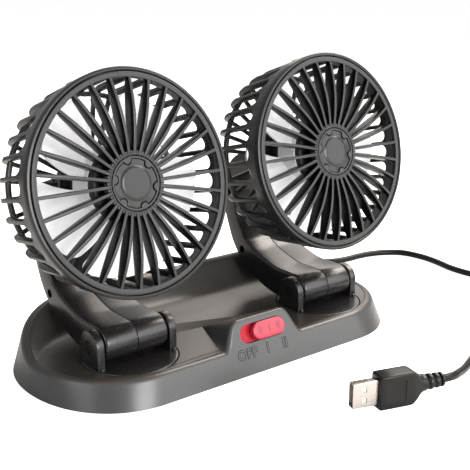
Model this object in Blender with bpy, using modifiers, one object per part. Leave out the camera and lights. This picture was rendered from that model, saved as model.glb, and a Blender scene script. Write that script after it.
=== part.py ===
"""Dual head fan for a car dashboard or a desk.

Two caged fan heads stand on a low tray-shaped base. Each head sits on a bent arm
made of two half shells. The arm tilts on a hinge between the ears of a turntable,
and the turntable swivels in a seat in the base. A three-place slide switch sits in
a raised console at the front. A USB lead leaves the back right corner.

Metres, +X to the right as the switch is read, +Y to the back, +Z up. The origin is
on the surface that the fan stands on, under the middle of the base.
"""
import math

import bmesh
import bpy
from mathutils import Matrix, Vector

# Clearances and walls that every piece shares
GAP = 0.0003
OVERRUN = 0.001
WALL = 0.002
MERGE = 0.00001

# The whole fan
HEAD_RADIUS = 0.052
HEAD_APART = 0.0098
SWIVEL_INSET = 0.032
HINGE_Z = 0.0234
HEAD_LEAN = math.radians(12.3)
HEAD_FORWARD = 0.0099
HEAD_LIFT = 0.0476

# Base
BASE_END_INSET = 0.0452
BASE_HALF_DEPTH = 0.0515
CORNER_SHIFT = 0.0075
SHELL_BOTTOM_Z = 0.0005
RIM_END_INSET = 0.003
RIM_BACK_INSET = 0.0073
RIM_FRONT_Z = 0.0140
RIM_BACK_Z = 0.0289
RIM_EASE = 0.006
WALL_LEAN_SHARE = 0.36
FLOOR_Z = 0.0136
SHOULDER = 0.0028
BAND_MARGIN = 0.0005
BAND_SHARE = 0.17
DISH_RUN_SHARE = 1.56
DISH_SHARES = ((0.3, 0.52), (0.62, 0.14))
END_COLUMNS = 12

# Console for the switch
CONSOLE_HALF_FOOT = 0.025
CONSOLE_TOP_Z = 0.0275
CONSOLE_DEPTH = 0.040
CONSOLE_BACK_HALF = 0.013
CONSOLE_OUTLINE_SHARES = ((0, 1), (0.3, 1), (0.5, 1), (0.6, 0.985), (0.68, 0.92), (0.74, 0.80),
                          (0.80, 0.60), (0.86, 0.36), (0.915, 0.16), (0.96, 0.05), (1, 0))

# Turntable and its seat
DISC_RADIUS = 0.0234
DISC_TOP_Z = 0.0138
DISC_THICKNESS = 0.0017
SEAT_WALL = 0.0022
SEAT_FLOOR = 0.0023
SWIVEL_BOSS_RADIUS = 0.007
WASHER_RADIUS = 0.011
WASHER_THICKNESS = 0.0013

# Hinge
BARREL_RADIUS = 0.0083
EAR_RADIUS = 0.0079
EAR_INSIDE = 0.0179
EAR_THICKNESS = 0.0041
BOLT_RADIUS = 0.0015
BOLT_HEAD_RADIUS = 0.0028
NUT_RADIUS = 0.0032
NUT_THICKNESS = 0.0022

# Arm
ARM_HALF_WIDTH = 0.0175
ARM_DEPTH = 0.0655
ARM_NECK_THICKNESS = 0.0136
ARM_OUTER_SHARES = ((0, -0.127), (0.205, -0.119), (0.36, -0.094), (0.50, -0.049), (0.66, 0.012),
                    (0.77, 0.125), (0.86, 0.245), (0.927, 0.39), (0.98, 0.535), (1, 0.67),
                    (0.977, 0.80), (0.908, 0.925), (0.79, 1.02))
ARM_INNER_SHARES = ((0, 0.127), (0.13, 0.127), (0.26, 0.131), (0.40, 0.164), (0.52, 0.204),
                    (0.61, 0.255), (0.663, 0.29), (0.718, 0.364), (0.78, 0.475), (0.81, 0.60),
                    (0.806, 0.715), (0.756, 0.81), (0.657, 0.88))
ARM_HOLLOW_STEPS = (2, 11)
ARM_SCREW_SHARES = {"lower": (0.71, 0.185), "upper": (0.905, 0.67)}
ARM_SCREW_RADIUS = 0.001
ARM_SCREW_HEAD_RADIUS = 0.0019
ARM_SCREW_HEAD_HEIGHT = 0.0014
ARM_SCREW_REACH = 0.009
ARM_RECESS_RADIUS = 0.00225
ARM_RECESS_FLOOR = 0.008

# Cage, in the head's own frame: depth runs back from the front ring's face
GRILLE_INSET = 0.0022
GRILLE_DEPTH = 0.003
CAGE_BAND_DEPTH = 0.0095
CAGE_BAND_TAPER = 0.0008
CAGE_BAND_WALL = 0.0028
CAGE_DEPTH = 0.0425
CAGE_FINS = 32
FIN_THICKNESS = 0.002
FIN_DEPTH = 0.0032
FIN_BACK_INSET = 0.0055
REAR_BAR_DEPTH = 0.002
REAR_RING_INSET = 0.0068
REAR_RING_WIDTH = 0.0024
CAGE_HUB_RADIUS = 0.018

# Front grille
GRILLE_RIM_WIDTH = 0.0027
GRILLE_HUB_RADIUS = 0.0135
GRILLE_HUB_FRONT = -0.0009
GRILLE_HUB_BACK = 0.0035
SPOKES = 30
SPOKE_THICKNESS = 0.0015
SPOKE_BULGE = 0.0025
CAP_RADIUS = 0.011
CAP_THICKNESS = 0.0012
CAP_RECESS = 0.0004
CAP_NOTCHES = 6
CAP_NOTCH_RADIUS = 0.0022

# Rotor and motor
BLADE_TIP_INSET = 0.009
ROTOR_FRONT = 0.009
BLADE_FRONT = 0.0125
BLADE_BACK = 0.0243
BLADES = 5
BLADE_THICKNESS = 0.0012
BLADE_TURN = math.radians(60)
BLADE_START = math.radians(5)
BLADE_SWEEP = math.radians(16)
ROTOR_HUB_RADIUS = 0.0173
ROTOR_HUB_BACK = 0.025
SLEEVE_WALL = 0.001
MOTOR_RADIUS = 0.010
MOTOR_FRONT = 0.0155
SHAFT_RADIUS = 0.001
SHAFT_END = 0.030
MOTOR_TUBE_LENGTH = 0.0155
WIRE_HOLE_RADIUS = 0.003
COVER_RADIUS = 0.0175
COVER_DEPTH = 0.0035
NECK_RADIUS = 0.004
NECK_LENGTH = 0.006
NECK_FLANGE_RADIUS = 0.0052
NECK_FLANGE = 0.0018

# Switch, in the frame of the console's front wall
SWITCH_Z = 0.0193
SLOT_LENGTH = 0.0286
SLOT_HEIGHT = 0.0095
SLIDER_LENGTH = 0.0206
SLIDER_PROUD = 0.0011
LINER_MARGIN = 0.0018
LINER_THICKNESS = 0.001
STEM_LENGTH = 0.003
STEM_HEIGHT = 0.0024
STEM_REACH = 0.0032
SWITCH_BODY_LENGTH = 0.019
SWITCH_BODY_HEIGHT = 0.006
SWITCH_BODY_DEPTH = 0.0055
BOARD_LENGTH = 0.025
BOARD_HEIGHT = 0.010
BOARD_THICKNESS = 0.0014

# Bottom plate, feet and screws
PLATE_THICKNESS = 0.0023
FOOT_RADIUS = 0.007
FOOT_HEIGHT = 0.0012
FOOT_END_INSET = 0.027
FOOT_SIDE_INSET = 0.0215
FRONT_SCREW_INSET = 0.0155
FRONT_SCREW_APART = 0.0328
BACK_SCREW_INSET = 0.0054
BACK_SCREW_APART = 0.0218
BASE_SCREW_RADIUS = 0.0012
BASE_SCREW_HEAD_RADIUS = 0.0024
BASE_SCREW_HEAD_HEIGHT = 0.0011
BASE_SCREW_LENGTH = 0.008
BASE_BOSS_RADIUS = 0.0034

# Lead: gland, cord, coil and plug
CORD_RADIUS = 0.002
GLAND_TURN = math.radians(50)
GLAND_Z = 0.0075
GLAND_NOSE = 0.014
GLAND_RADIUS = 0.0036
GLAND_NECK_RADIUS = 0.0030
GLAND_STAND = 0.0019
GLAND_FLANGE = 0.0046
CORD_REST_Z = 0.00205
COIL_PLACE = Vector((0.0517, -0.0425, 0))
COIL_RADIUS = 0.029
COIL_PITCH = 0.0045
COIL_TURNS = 6.25
LOOP_POINTS = 24
CORD_STEP_RADII = 4.4
LEAD_ROUTE = ((-0.0010, 0.0060, 0.0060), (0.0070, 0.0105, 0.0035), (0.0170, 0.0105, 0.0021),
              (0.0280, 0.0060, 0.00205), (0.0383, 0.0011, 0.00205), (0.0483, -0.0009, 0.00205),
              (0.0603, -0.0011, 0.00205), (0.0712, -0.0026, 0.00205), (0.0803, -0.0060, 0.00205),
              (0.0873, -0.0114, 0.00205), (0.0925, -0.0184, 0.00205), (0.0938, -0.0286, 0.00205),
              (0.0938, -0.0397, 0.00205), (0.0906, -0.0529, 0.00205))
SIDE_ROUTE = ((0.0886, 0.0381, 0.00205), (0.0901, 0.0292, 0.00205), (0.0895, 0.0165, 0.00205),
              (0.0860, -0.0035, 0.00205), (0.0820, -0.0245, 0.00205))
TAIL_ROUTE = ((0.0330, -0.0717, 0.0064), (0.0210, -0.0700, 0.0035), (0.0110, -0.0640, 0.00205),
              (0.0010, -0.0565, 0.00205), (-0.0100, -0.0535, 0.00205), (-0.0185, -0.0558, 0.00205),
              (-0.0275, -0.0597, 0.0027), (-0.0380, -0.0645, 0.0040), (-0.0475, -0.0683, 0.0058),
              (-0.0553, -0.0709, 0.0074))
PLUG_TIP_PLACE = Vector((-0.002, -0.0570, 0.0083))
PLUG_TURN = math.radians(-17)
SHELL_LENGTH = 0.0124
SHELL_WIDTH = 0.012
SHELL_HEIGHT = 0.0045
SHELL_WALL = 0.0004
TONGUE_THICKNESS = 0.0018
TONGUE_WIDTH = 0.0105
GRIP_LENGTH = 0.0165
GRIP_TAPER = 0.0080
GRIP_WIDTH = 0.0165
GRIP_HEIGHT = 0.0092
RELIEF_LENGTH = 0.0105
RELIEF_RADIUS = 0.0040
RELIEF_END_RADIUS = 0.0034

# Places that follow from the sizes above
UNIT_X = HEAD_RADIUS + HEAD_APART
SWIVEL_Y = SWIVEL_INSET - BASE_HALF_DEPTH
HEAD_Z = HEAD_RADIUS + HEAD_LIFT
BASE_HALF_LENGTH = UNIT_X + BASE_END_INSET
BASE_CORNER_RADIUS = BASE_HALF_DEPTH - CORNER_SHIFT
RIM_HALF_LENGTH = BASE_HALF_LENGTH - RIM_END_INSET
RIM_BACK_Y = BASE_HALF_DEPTH - RIM_BACK_INSET
RIM_FRONT_Y = -BASE_HALF_DEPTH + WALL_LEAN_SHARE * (RIM_FRONT_Z - SHELL_BOTTOM_Z)
RIM_RADIUS = (RIM_BACK_Y - RIM_FRONT_Y) / 2
RIM_CENTRE_Y = (RIM_BACK_Y + RIM_FRONT_Y) / 2
RIM_END_X = RIM_HALF_LENGTH - RIM_RADIUS
CORNER_X = BASE_HALF_LENGTH - BASE_CORNER_RADIUS
CONSOLE_BACK_Y = CONSOLE_DEPTH - BASE_HALF_DEPTH
WALL_TILT = math.atan(WALL_LEAN_SHARE)
DISC_BOTTOM_Z = DISC_TOP_Z - DISC_THICKNESS
SEAT_Z = DISC_BOTTOM_Z - GAP
SEAT_RADIUS = DISC_RADIUS + GAP
CUP_BOTTOM_Z = SEAT_Z - SEAT_FLOOR
EAR_OUTSIDE = EAR_INSIDE + EAR_THICKNESS
COVER_BACK = CAGE_DEPTH + COVER_DEPTH
MOTOR_TUBE_FRONT = CAGE_DEPTH - MOTOR_TUBE_LENGTH
GRILLE_RADIUS = HEAD_RADIUS - GRILLE_INSET
GRILLE_INNER_RADIUS = GRILLE_RADIUS - GRILLE_RIM_WIDTH
CAGE_LIP_RADIUS = GRILLE_RADIUS / math.cos(math.pi / CAGE_FINS) + GAP / 2
CAGE_BAND_BACK_RADIUS = HEAD_RADIUS - CAGE_BAND_TAPER
CAGE_BAND_INNER_RADIUS = CAGE_BAND_BACK_RADIUS - CAGE_BAND_WALL
FIN_BACK_RADIUS = HEAD_RADIUS - FIN_BACK_INSET
REAR_RING_RADIUS = HEAD_RADIUS - REAR_RING_INSET
ROTOR_RADIUS = HEAD_RADIUS - BLADE_TIP_INSET
FOOT_X = BASE_HALF_LENGTH - FOOT_END_INSET
FOOT_Y = BASE_HALF_DEPTH - FOOT_SIDE_INSET
FRONT_SCREW = (UNIT_X - FRONT_SCREW_APART, FRONT_SCREW_INSET - BASE_HALF_DEPTH)
BACK_SLOPE = SHOULDER + BAND_MARGIN + (BAND_SHARE + DISH_RUN_SHARE) * (RIM_BACK_Z - FLOOR_Z)
FLOOR_BACK_Y = RIM_BACK_Y - BACK_SLOPE
BACK_SCREW = (UNIT_X - BACK_SCREW_APART, FLOOR_BACK_Y - BACK_SCREW_INSET)
BASE_SCREW_PLACES = [(side * x, y) for x, y in (FRONT_SCREW, BACK_SCREW) for side in (-1, 1)]
BACK_CORNER = Vector((BASE_HALF_LENGTH, BASE_HALF_DEPTH, 0))
FRONT_CORNER = Vector((BASE_HALF_LENGTH, -BASE_HALF_DEPTH, 0))
COIL_CENTRE = FRONT_CORNER + COIL_PLACE
PLUG_TIP = Vector((0, -BASE_HALF_DEPTH, 0)) + PLUG_TIP_PLACE
UP = Vector((0, 0, 1))
WALL_NORMAL = Vector((0, -math.cos(WALL_TILT), math.sin(WALL_TILT)))
AXIS_BACK = Vector((0, math.cos(HEAD_LEAN), -math.sin(HEAD_LEAN)))
AXIS_UP = Vector((0, math.sin(HEAD_LEAN), math.cos(HEAD_LEAN)))
HEAD_OFFSET = Vector((0, -HEAD_FORWARD, HEAD_Z - HINGE_Z))
SEAM = GAP / 2
PLATE_TOP_Z = SHELL_BOTTOM_Z + PLATE_THICKNESS

MATERIALS = {
    "graphite_abs": ((0.095, 0.093, 0.092), 0.42, 0.0),
    "black_abs": ((0.016, 0.016, 0.017), 0.45, 0.0),
    "clear_blade": ((0.62, 0.63, 0.65), 0.25, 0.0),
    "switch_red": ((0.72, 0.03, 0.06), 0.35, 0.0),
    "steel": ((0.55, 0.54, 0.52), 0.3, 1.0),
    "soft_grey_pad": ((0.12, 0.12, 0.12), 0.8, 0.0),
    "circuit_board": ((0.02, 0.16, 0.06), 0.5, 0.0),
    "cord_pvc": ((0.035, 0.035, 0.036), 0.5, 0.0),
    "plug_nickel": ((0.70, 0.67, 0.64), 0.28, 1.0),
    "white_tongue": ((0.75, 0.75, 0.73), 0.5, 0.0),
}


def clear_scene():
    """Start with an empty scene and two collections."""
    for item in list(bpy.data.objects):
        bpy.data.objects.remove(item)
    for name in ("Dual head fan", "Helpers"):
        group = bpy.data.collections.new(name)
        bpy.context.scene.collection.children.link(group)
    return bpy.data.collections["Dual head fan"], bpy.data.collections["Helpers"]


PARTS, HELPERS = clear_scene()


def make_material(name):
    """Return the named finish, made on first use."""
    if name in bpy.data.materials:
        return bpy.data.materials[name]
    colour, roughness, metallic = MATERIALS[name]
    made = bpy.data.materials.new(name)
    made.use_nodes = True
    shader = made.node_tree.nodes["Principled BSDF"]
    shader.inputs["Base Color"].default_value = (*colour, 1)
    shader.inputs["Roughness"].default_value = roughness
    shader.inputs["Metallic"].default_value = metallic
    return made


def axis_empty(name, place, parent=None, turn=0.0):
    """An empty on a joint's axis or at a head's ring, which carries the pieces."""
    empty = bpy.data.objects.new(name, None)
    empty.location = place
    empty.rotation_euler.x = turn
    empty.parent = parent
    PARTS.objects.link(empty)
    return empty


def part(name, mesh, finish, parent=None):
    """Put a finished mesh in the model as one named piece."""
    piece = bpy.data.objects.new(name, mesh)
    if finish not in mesh.materials:
        mesh.materials.clear()
        mesh.materials.append(make_material(finish))
    mesh.shade_smooth()
    mesh.set_sharp_from_angle(angle=math.radians(35))
    piece.parent = parent
    PARTS.objects.link(piece)
    return piece


def as_mesh(shape):
    """Turn a bmesh into mesh data with its faces pointing out."""
    bmesh.ops.recalc_face_normals(shape, faces=shape.faces)
    mesh = bpy.data.meshes.new("shape")
    shape.to_mesh(mesh)
    shape.free()
    return mesh


def evaluated(obj):
    """The object's mesh after its modifiers, with the object removed."""
    view = bpy.context.evaluated_depsgraph_get()
    mesh = bpy.data.meshes.new_from_object(obj.evaluated_get(view))
    bpy.data.objects.remove(obj)
    shape = bmesh.new()
    shape.from_mesh(mesh)
    bmesh.ops.remove_doubles(shape, verts=shape.verts, dist=MERGE)
    return as_mesh(shape)


def boolean(body, tool, operation):
    """Join or cut two closed meshes with the exact solver."""
    target = bpy.data.objects.new("target", body)
    helper = bpy.data.objects.new("helper", tool)
    for item in (target, helper):
        HELPERS.objects.link(item)
    step = target.modifiers.new("step", "BOOLEAN")
    step.solver = "EXACT"
    step.operation = operation
    step.object = helper
    result = evaluated(target)
    bpy.data.objects.remove(helper)
    return result


def cut(body, *tools):
    """Take each tool away from the body in turn."""
    for tool in tools:
        body = boolean(body, tool, "DIFFERENCE")
    return body


def fuse(body, *tools):
    """Join each tool to the body in turn."""
    for tool in tools:
        body = boolean(body, tool, "UNION")
    return body


def together(meshes):
    """Several separate closed meshes as one, for one boolean step."""
    shape = bmesh.new()
    for mesh in meshes:
        shape.from_mesh(mesh)
    made = bpy.data.meshes.new("group")
    shape.to_mesh(made)
    shape.free()
    return made


def moved(mesh, place=(0, 0, 0), turn=None):
    """A copy of a mesh, turned and then moved."""
    copy = mesh.copy()
    copy.transform(Matrix.Translation(place) @ (turn or Matrix.Identity(4)))
    return copy


def turned(profile, segments, closed=False):
    """A turned shape about Z from (radius, height) points, made with a Screw modifier."""
    mesh = bpy.data.meshes.new("profile")
    count = len(profile)
    edges = [(i, i + 1) for i in range(count - 1)]
    if closed:
        edges.append((count - 1, 0))
    mesh.from_pydata([(radius, 0, height) for radius, height in profile], edges, [])
    obj = bpy.data.objects.new("turned", mesh)
    HELPERS.objects.link(obj)
    screw = obj.modifiers.new("screw", "SCREW")
    screw.steps = segments
    screw.render_steps = segments
    screw.use_merge_vertices = True
    screw.merge_threshold = MERGE
    return evaluated(obj)


def cylinder(radius, low, high, segments=24):
    """A closed cylinder on the Z axis."""
    shape = bmesh.new()
    bmesh.ops.create_cone(shape, cap_ends=True, segments=segments, radius1=radius, radius2=radius,
                          depth=high - low)
    bmesh.ops.translate(shape, verts=shape.verts, vec=(0, 0, (low + high) / 2))
    return as_mesh(shape)


def block(low, high):
    """A closed box between two corners."""
    shape = bmesh.new()
    bmesh.ops.create_cube(shape, size=1)
    size = Vector(high) - Vector(low)
    middle = (Vector(high) + Vector(low)) / 2
    bmesh.ops.scale(shape, verts=shape.verts, vec=size)
    bmesh.ops.translate(shape, verts=shape.verts, vec=middle)
    return as_mesh(shape)


def slab(outline, low, high):
    """A flat (x, y) outline as a closed solid between two heights."""
    shape = bmesh.new()
    face = shape.faces.new([shape.verts.new((x, y, low)) for x, y in outline])
    grown = bmesh.ops.extrude_face_region(shape, geom=[face])
    corners = [item for item in grown["geom"] if isinstance(item, bmesh.types.BMVert)]
    bmesh.ops.translate(shape, verts=corners, vec=(0, 0, high - low))
    return as_mesh(shape)


def arc(centre, radius, start, end, steps):
    """Points along an arc, both ends included."""
    angles = [start + (end - start) * i / steps for i in range(steps + 1)]
    return [(centre[0] + radius * math.cos(a), centre[1] + radius * math.sin(a)) for a in angles]


def stadium(length, height, steps=6):
    """A slot outline with round ends, centred on the origin."""
    radius = height / 2
    reach = length / 2 - radius
    right = arc((reach, 0), radius, -math.pi / 2, math.pi / 2, steps)
    left = arc((-reach, 0), radius, math.pi / 2, math.pi * 1.5, steps)
    return right + left


# Lays a (x, y) outline over the fan's (y, z) plane, with its thickness along x
SIDE_ON = Matrix(((0, 0, 1, 0), (1, 0, 0, 0), (0, 1, 0, 0), (0, 0, 0, 1)))
ALONG_X = Matrix.Rotation(math.pi / 2, 4, "Y")


def sideways(outline, low, high):
    """A (y, z) outline as a solid between two places along x."""
    return moved(slab(outline, low, high), turn=SIDE_ON)


def rod_along_x(radius, low, high, y, z, segments=12):
    """A cylinder along x."""
    return moved(cylinder(radius, low, high, segments), (0, y, z), ALONG_X)


def rim_height(y):
    """Height of the rim, level at the front and rising to the back."""
    def climb(run):
        return run * run / (run + RIM_EASE)
    return RIM_FRONT_Z + (RIM_BACK_Z - RIM_FRONT_Z) * climb(max(0.0, y - RIM_CENTRE_Y)) / climb(RIM_RADIUS)


def front_wall_y(z):
    """Where the flat front wall lies at a height."""
    return -BASE_HALF_DEPTH + WALL_LEAN_SHARE * (z - SHELL_BOTTOM_Z)


def rim_column(edge_x, edge_y, foot_x, foot_y, inward):
    """One column of the base: its places from foot to floor, the way down the wall and the way across."""
    edge = Vector((edge_x, edge_y, rim_height(edge_y)))
    foot = Vector((foot_x, foot_y, SHELL_BOTTOM_Z))
    inward = Vector(inward)
    drop = edge.z - FLOOR_Z
    band = SHOULDER + BAND_MARGIN + BAND_SHARE * drop
    run = DISH_RUN_SHARE * drop
    low = Vector((0, 0, -drop))
    dish = [edge + inward * (band + run * out) + low * (1 - up) for out, up in DISH_SHARES]
    floor = edge + inward * (band + run) + low
    return [foot, edge, edge + inward * band, *dish, floor], (foot - edge).normalized(), inward.cross(UP)


def rounded_column(column):
    """A column's places with its edge rounded to the shoulder."""
    points, down, _ = column
    foot, edge, band = points[:3]
    below = edge + down * SHOULDER
    behind = edge + (band - edge).normalized() * SHOULDER
    crown = (below + edge * 2 + behind) / 4
    return [foot, below, crown, behind, *points[2:]]


def lining_column(column):
    """The places one wall in from a column, from below its foot to the underside of the floor."""
    points, _, across = column
    normals = [(after - before).cross(across).normalized() for before, after in zip(points, points[1:])]
    normals.append(-UP)
    up_wall = (points[1] - points[0]).normalized()
    foot = points[0] + normals[0] * WALL
    foot -= up_wall * ((foot.z - SHELL_BOTTOM_Z + OVERRUN) / up_wall.z)
    inner = [foot]
    for point, before, after in zip(points[1:], normals, normals[1:]):
        inner.append(point + (before + after) * (WALL / (1 + before.dot(after))))
    return inner


def console_columns():
    """Columns along the console's outline, from the middle of the front to its foot."""
    height = CONSOLE_TOP_Z - RIM_FRONT_Z
    outline = [(x * CONSOLE_HALF_FOOT, RIM_FRONT_Z + z * height) for x, z in CONSOLE_OUTLINE_SHARES]
    band = SHOULDER + BAND_MARGIN
    foot_floor = Vector((CONSOLE_HALF_FOOT, RIM_FRONT_Y + band + DISH_RUN_SHARE * (RIM_FRONT_Z - FLOOR_Z),
                         FLOOR_Z))
    back_corner = Vector((CONSOLE_BACK_HALF, CONSOLE_BACK_Y, FLOOR_Z))
    top_half = CONSOLE_HALF_FOOT * CONSOLE_OUTLINE_SHARES[3][0]
    columns = []
    for number, (x, z) in enumerate(outline[:-1]):
        before = outline[max(number - 1, 0)]
        after = outline[number + 1]
        along = Vector((after[0] - before[0], (after[1] - before[1]) / math.cos(WALL_TILT))).normalized()
        down = Vector((along.y, -along.x * math.sin(WALL_TILT), -along.x * math.cos(WALL_TILT)))
        edge = Vector((x, front_wall_y(z), z))
        share = (z - RIM_FRONT_Z) / height
        floor = foot_floor.lerp(back_corner, share)
        if x <= top_half:
            floor = Vector((CONSOLE_BACK_HALF * x / top_half, CONSOLE_BACK_Y, FLOOR_Z))
        inward = (floor - edge).normalized()
        start = edge + inward * band
        middle = [start.lerp(floor, out) for out, _ in DISH_SHARES]
        foot = Vector((x * CORNER_X / RIM_END_X, -BASE_HALF_DEPTH, SHELL_BOTTOM_Z))
        columns.append(([foot, edge, start, *middle, floor], down, WALL_NORMAL.cross(down)))
    return columns


def base_columns():
    """All columns of the right half, from the middle of the front to the middle of the back."""
    columns = console_columns()
    for share in (0, 0.35, 0.68):
        x = CONSOLE_HALF_FOOT + (RIM_END_X - CONSOLE_HALF_FOOT) * share
        columns.append(rim_column(x, RIM_FRONT_Y, x * CORNER_X / RIM_END_X, -BASE_HALF_DEPTH, (0, 1, 0)))
    for step in range(END_COLUMNS + 1):
        angle = -math.pi / 2 + math.pi * step / END_COLUMNS
        columns.append(end_column(angle))
    for share in (0.66, 0.33, 0):
        x = RIM_END_X * share
        columns.append(rim_column(x, RIM_BACK_Y, CORNER_X * share, BASE_HALF_DEPTH, (0, -1, 0)))
    return columns


def end_column(angle):
    """The column at one turn round the base's right end, 0 pointing along +X."""
    cos, sin = math.cos(angle), math.sin(angle)
    ease = sin * (1.5 - 0.5 * sin * sin)
    return rim_column(RIM_END_X + RIM_RADIUS * cos, RIM_CENTRE_Y + RIM_RADIUS * sin,
                      CORNER_X + BASE_CORNER_RADIUS * cos, CORNER_SHIFT * ease + BASE_CORNER_RADIUS * sin,
                      (-cos, -sin, 0))


def mirrored(point):
    """The same place on the left."""
    return Vector((-point.x, point.y, point.z))


def full_turn(columns):
    """Columns of the right half and their mirror images."""
    return columns + [[mirrored(point) for point in column] for column in reversed(columns[1:-1])]


def closed_loft(columns):
    """A closed solid through columns of as many points each, capped at both ends."""
    shape = bmesh.new()
    grid = [[shape.verts.new(point) for point in column] for column in columns]
    for number, column in enumerate(grid):
        beside = grid[(number + 1) % len(grid)]
        for level in range(len(column) - 1):
            shape.faces.new((column[level], beside[level], beside[level + 1], column[level + 1]))
    shape.faces.new([column[-1] for column in grid])
    shape.faces.new([column[0] for column in reversed(grid)])
    return as_mesh(shape)


def seat_cutter():
    """The turntable's pocket and the bore under it."""
    bore = SWIVEL_BOSS_RADIUS + GAP
    top = DISC_TOP_Z + OVERRUN
    low = CUP_BOTTOM_Z - OVERRUN
    return turned(((0, top), (SEAT_RADIUS, top), (SEAT_RADIUS, SEAT_Z), (bore, SEAT_Z), (bore, low),
                   (0, low)), 36)


def wall_frame():
    """Matrix of the switch's frame: x along the slot, y up the wall, z out of it."""
    place = Matrix.Translation((0, front_wall_y(SWITCH_Z), SWITCH_Z))
    return place @ Matrix.Rotation(math.pi / 2 - WALL_TILT, 4, "X")


def gland_frame():
    """Matrix of the gland's frame: z straight out of the wall, level with the table."""
    foot, edge = end_column(GLAND_TURN)[0][:2]
    share = (GLAND_Z - foot.z) / (edge.z - foot.z)
    place = foot.lerp(edge, share)
    outward = Vector((math.cos(GLAND_TURN), math.sin(GLAND_TURN), 0))
    turn = outward.to_track_quat("Z", "Y").to_matrix().to_4x4()
    return Matrix.Translation(place) @ turn


def base_shell():
    """Top shell: tray, rim, console, turntable seats and screw bosses."""
    columns = base_columns()
    body = closed_loft(full_turn([rounded_column(column) for column in columns]))
    hollow = closed_loft(full_turn([lining_column(column) for column in columns]))
    shell = cut(body, hollow)
    inside = FLOOR_Z - WALL / 2
    cup = cylinder(SEAT_RADIUS + SEAT_WALL, CUP_BOTTOM_Z, inside, 36)
    boss = cylinder(BASE_BOSS_RADIUS, PLATE_TOP_Z + GAP, inside, 12)
    places = [(side * UNIT_X, SWIVEL_Y, 0) for side in (-1, 1)]
    shell = fuse(shell, together([moved(cup, place) for place in places]),
                 together([moved(boss, (x, y, 0)) for x, y in BASE_SCREW_PLACES]))
    bore = cylinder(BASE_SCREW_RADIUS + GAP, PLATE_TOP_Z - OVERRUN, PLATE_TOP_Z + BASE_SCREW_LENGTH, 12)
    slot = moved(slab(stadium(SLOT_LENGTH, SLOT_HEIGHT), -WALL * 2, WALL), turn=wall_frame())
    hole = moved(cylinder(GLAND_NECK_RADIUS + GAP, -WALL * 3, WALL * 2, 16), turn=gland_frame())
    shell = cut(shell, together([moved(seat_cutter(), place) for place in places]),
                together([moved(bore, (x, y, 0)) for x, y in BASE_SCREW_PLACES]), slot, hole)
    part("base_shell", shell, "graphite_abs")


def base_plate():
    """Bottom plate inside the shell's wall, with counterbores and foot recesses."""
    inset = WALL + WALL_LEAN_SHARE * PLATE_THICKNESS + GAP * 2
    outline = []
    ring = [column[0] for column in full_turn([points for points, _, _ in base_columns()])]
    count = len(ring)
    for number, point in enumerate(ring):
        along = ring[(number + 1) % count] - ring[number - 1]
        inward = Vector((-along.y, along.x, 0)).normalized()
        outline.append((point + inward * inset).xy)
    plate = slab(outline, SHELL_BOTTOM_Z, PLATE_TOP_Z)
    low = SHELL_BOTTOM_Z - OVERRUN
    recess_top = FOOT_HEIGHT + GAP
    recess = cylinder(FOOT_RADIUS + GAP, low, recess_top, 12)
    head_top = SHELL_BOTTOM_Z + GAP + BASE_SCREW_HEAD_HEIGHT + GAP
    head = BASE_SCREW_HEAD_RADIUS + GAP
    hole = BASE_SCREW_RADIUS + GAP
    screw_hole = turned(((0, PLATE_TOP_Z + OVERRUN), (hole, PLATE_TOP_Z + OVERRUN), (hole, head_top),
                         (head, head_top), (head, low), (0, low)), 10)
    plate = cut(plate, together([moved(recess, (x, y, 0)) for x, y in foot_places()]),
                together([moved(screw_hole, (x, y, 0)) for x, y in BASE_SCREW_PLACES]))
    part("base_plate", plate, "black_abs")


def foot_places():
    """The four feet, under the corners."""
    return [(x * FOOT_X, y * FOOT_Y) for y in (-1, 1) for x in (-1, 1)]


def feet_and_base_screws():
    """Four soft feet and four screws through the bottom plate."""
    names = ("front_left", "front_right", "back_left", "back_right")
    foot = cylinder(FOOT_RADIUS, 0, FOOT_HEIGHT, 12)
    for name, (x, y) in zip(names, foot_places()):
        piece = part("foot_" + name, foot, "soft_grey_pad")
        piece.location = (x, y, 0)
    bottom = SHELL_BOTTOM_Z + GAP
    head_top = bottom + BASE_SCREW_HEAD_HEIGHT
    tip = PLATE_TOP_Z + BASE_SCREW_LENGTH - OVERRUN
    screw = turned(((0, tip), (BASE_SCREW_RADIUS, tip), (BASE_SCREW_RADIUS, head_top),
                    (BASE_SCREW_HEAD_RADIUS, head_top), (BASE_SCREW_HEAD_RADIUS, bottom), (0, bottom)), 10)
    for name, (x, y) in zip(names, BASE_SCREW_PLACES):
        piece = part("base_screw_" + name, screw, "steel")
        piece.location = (x, y, 0)


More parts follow.
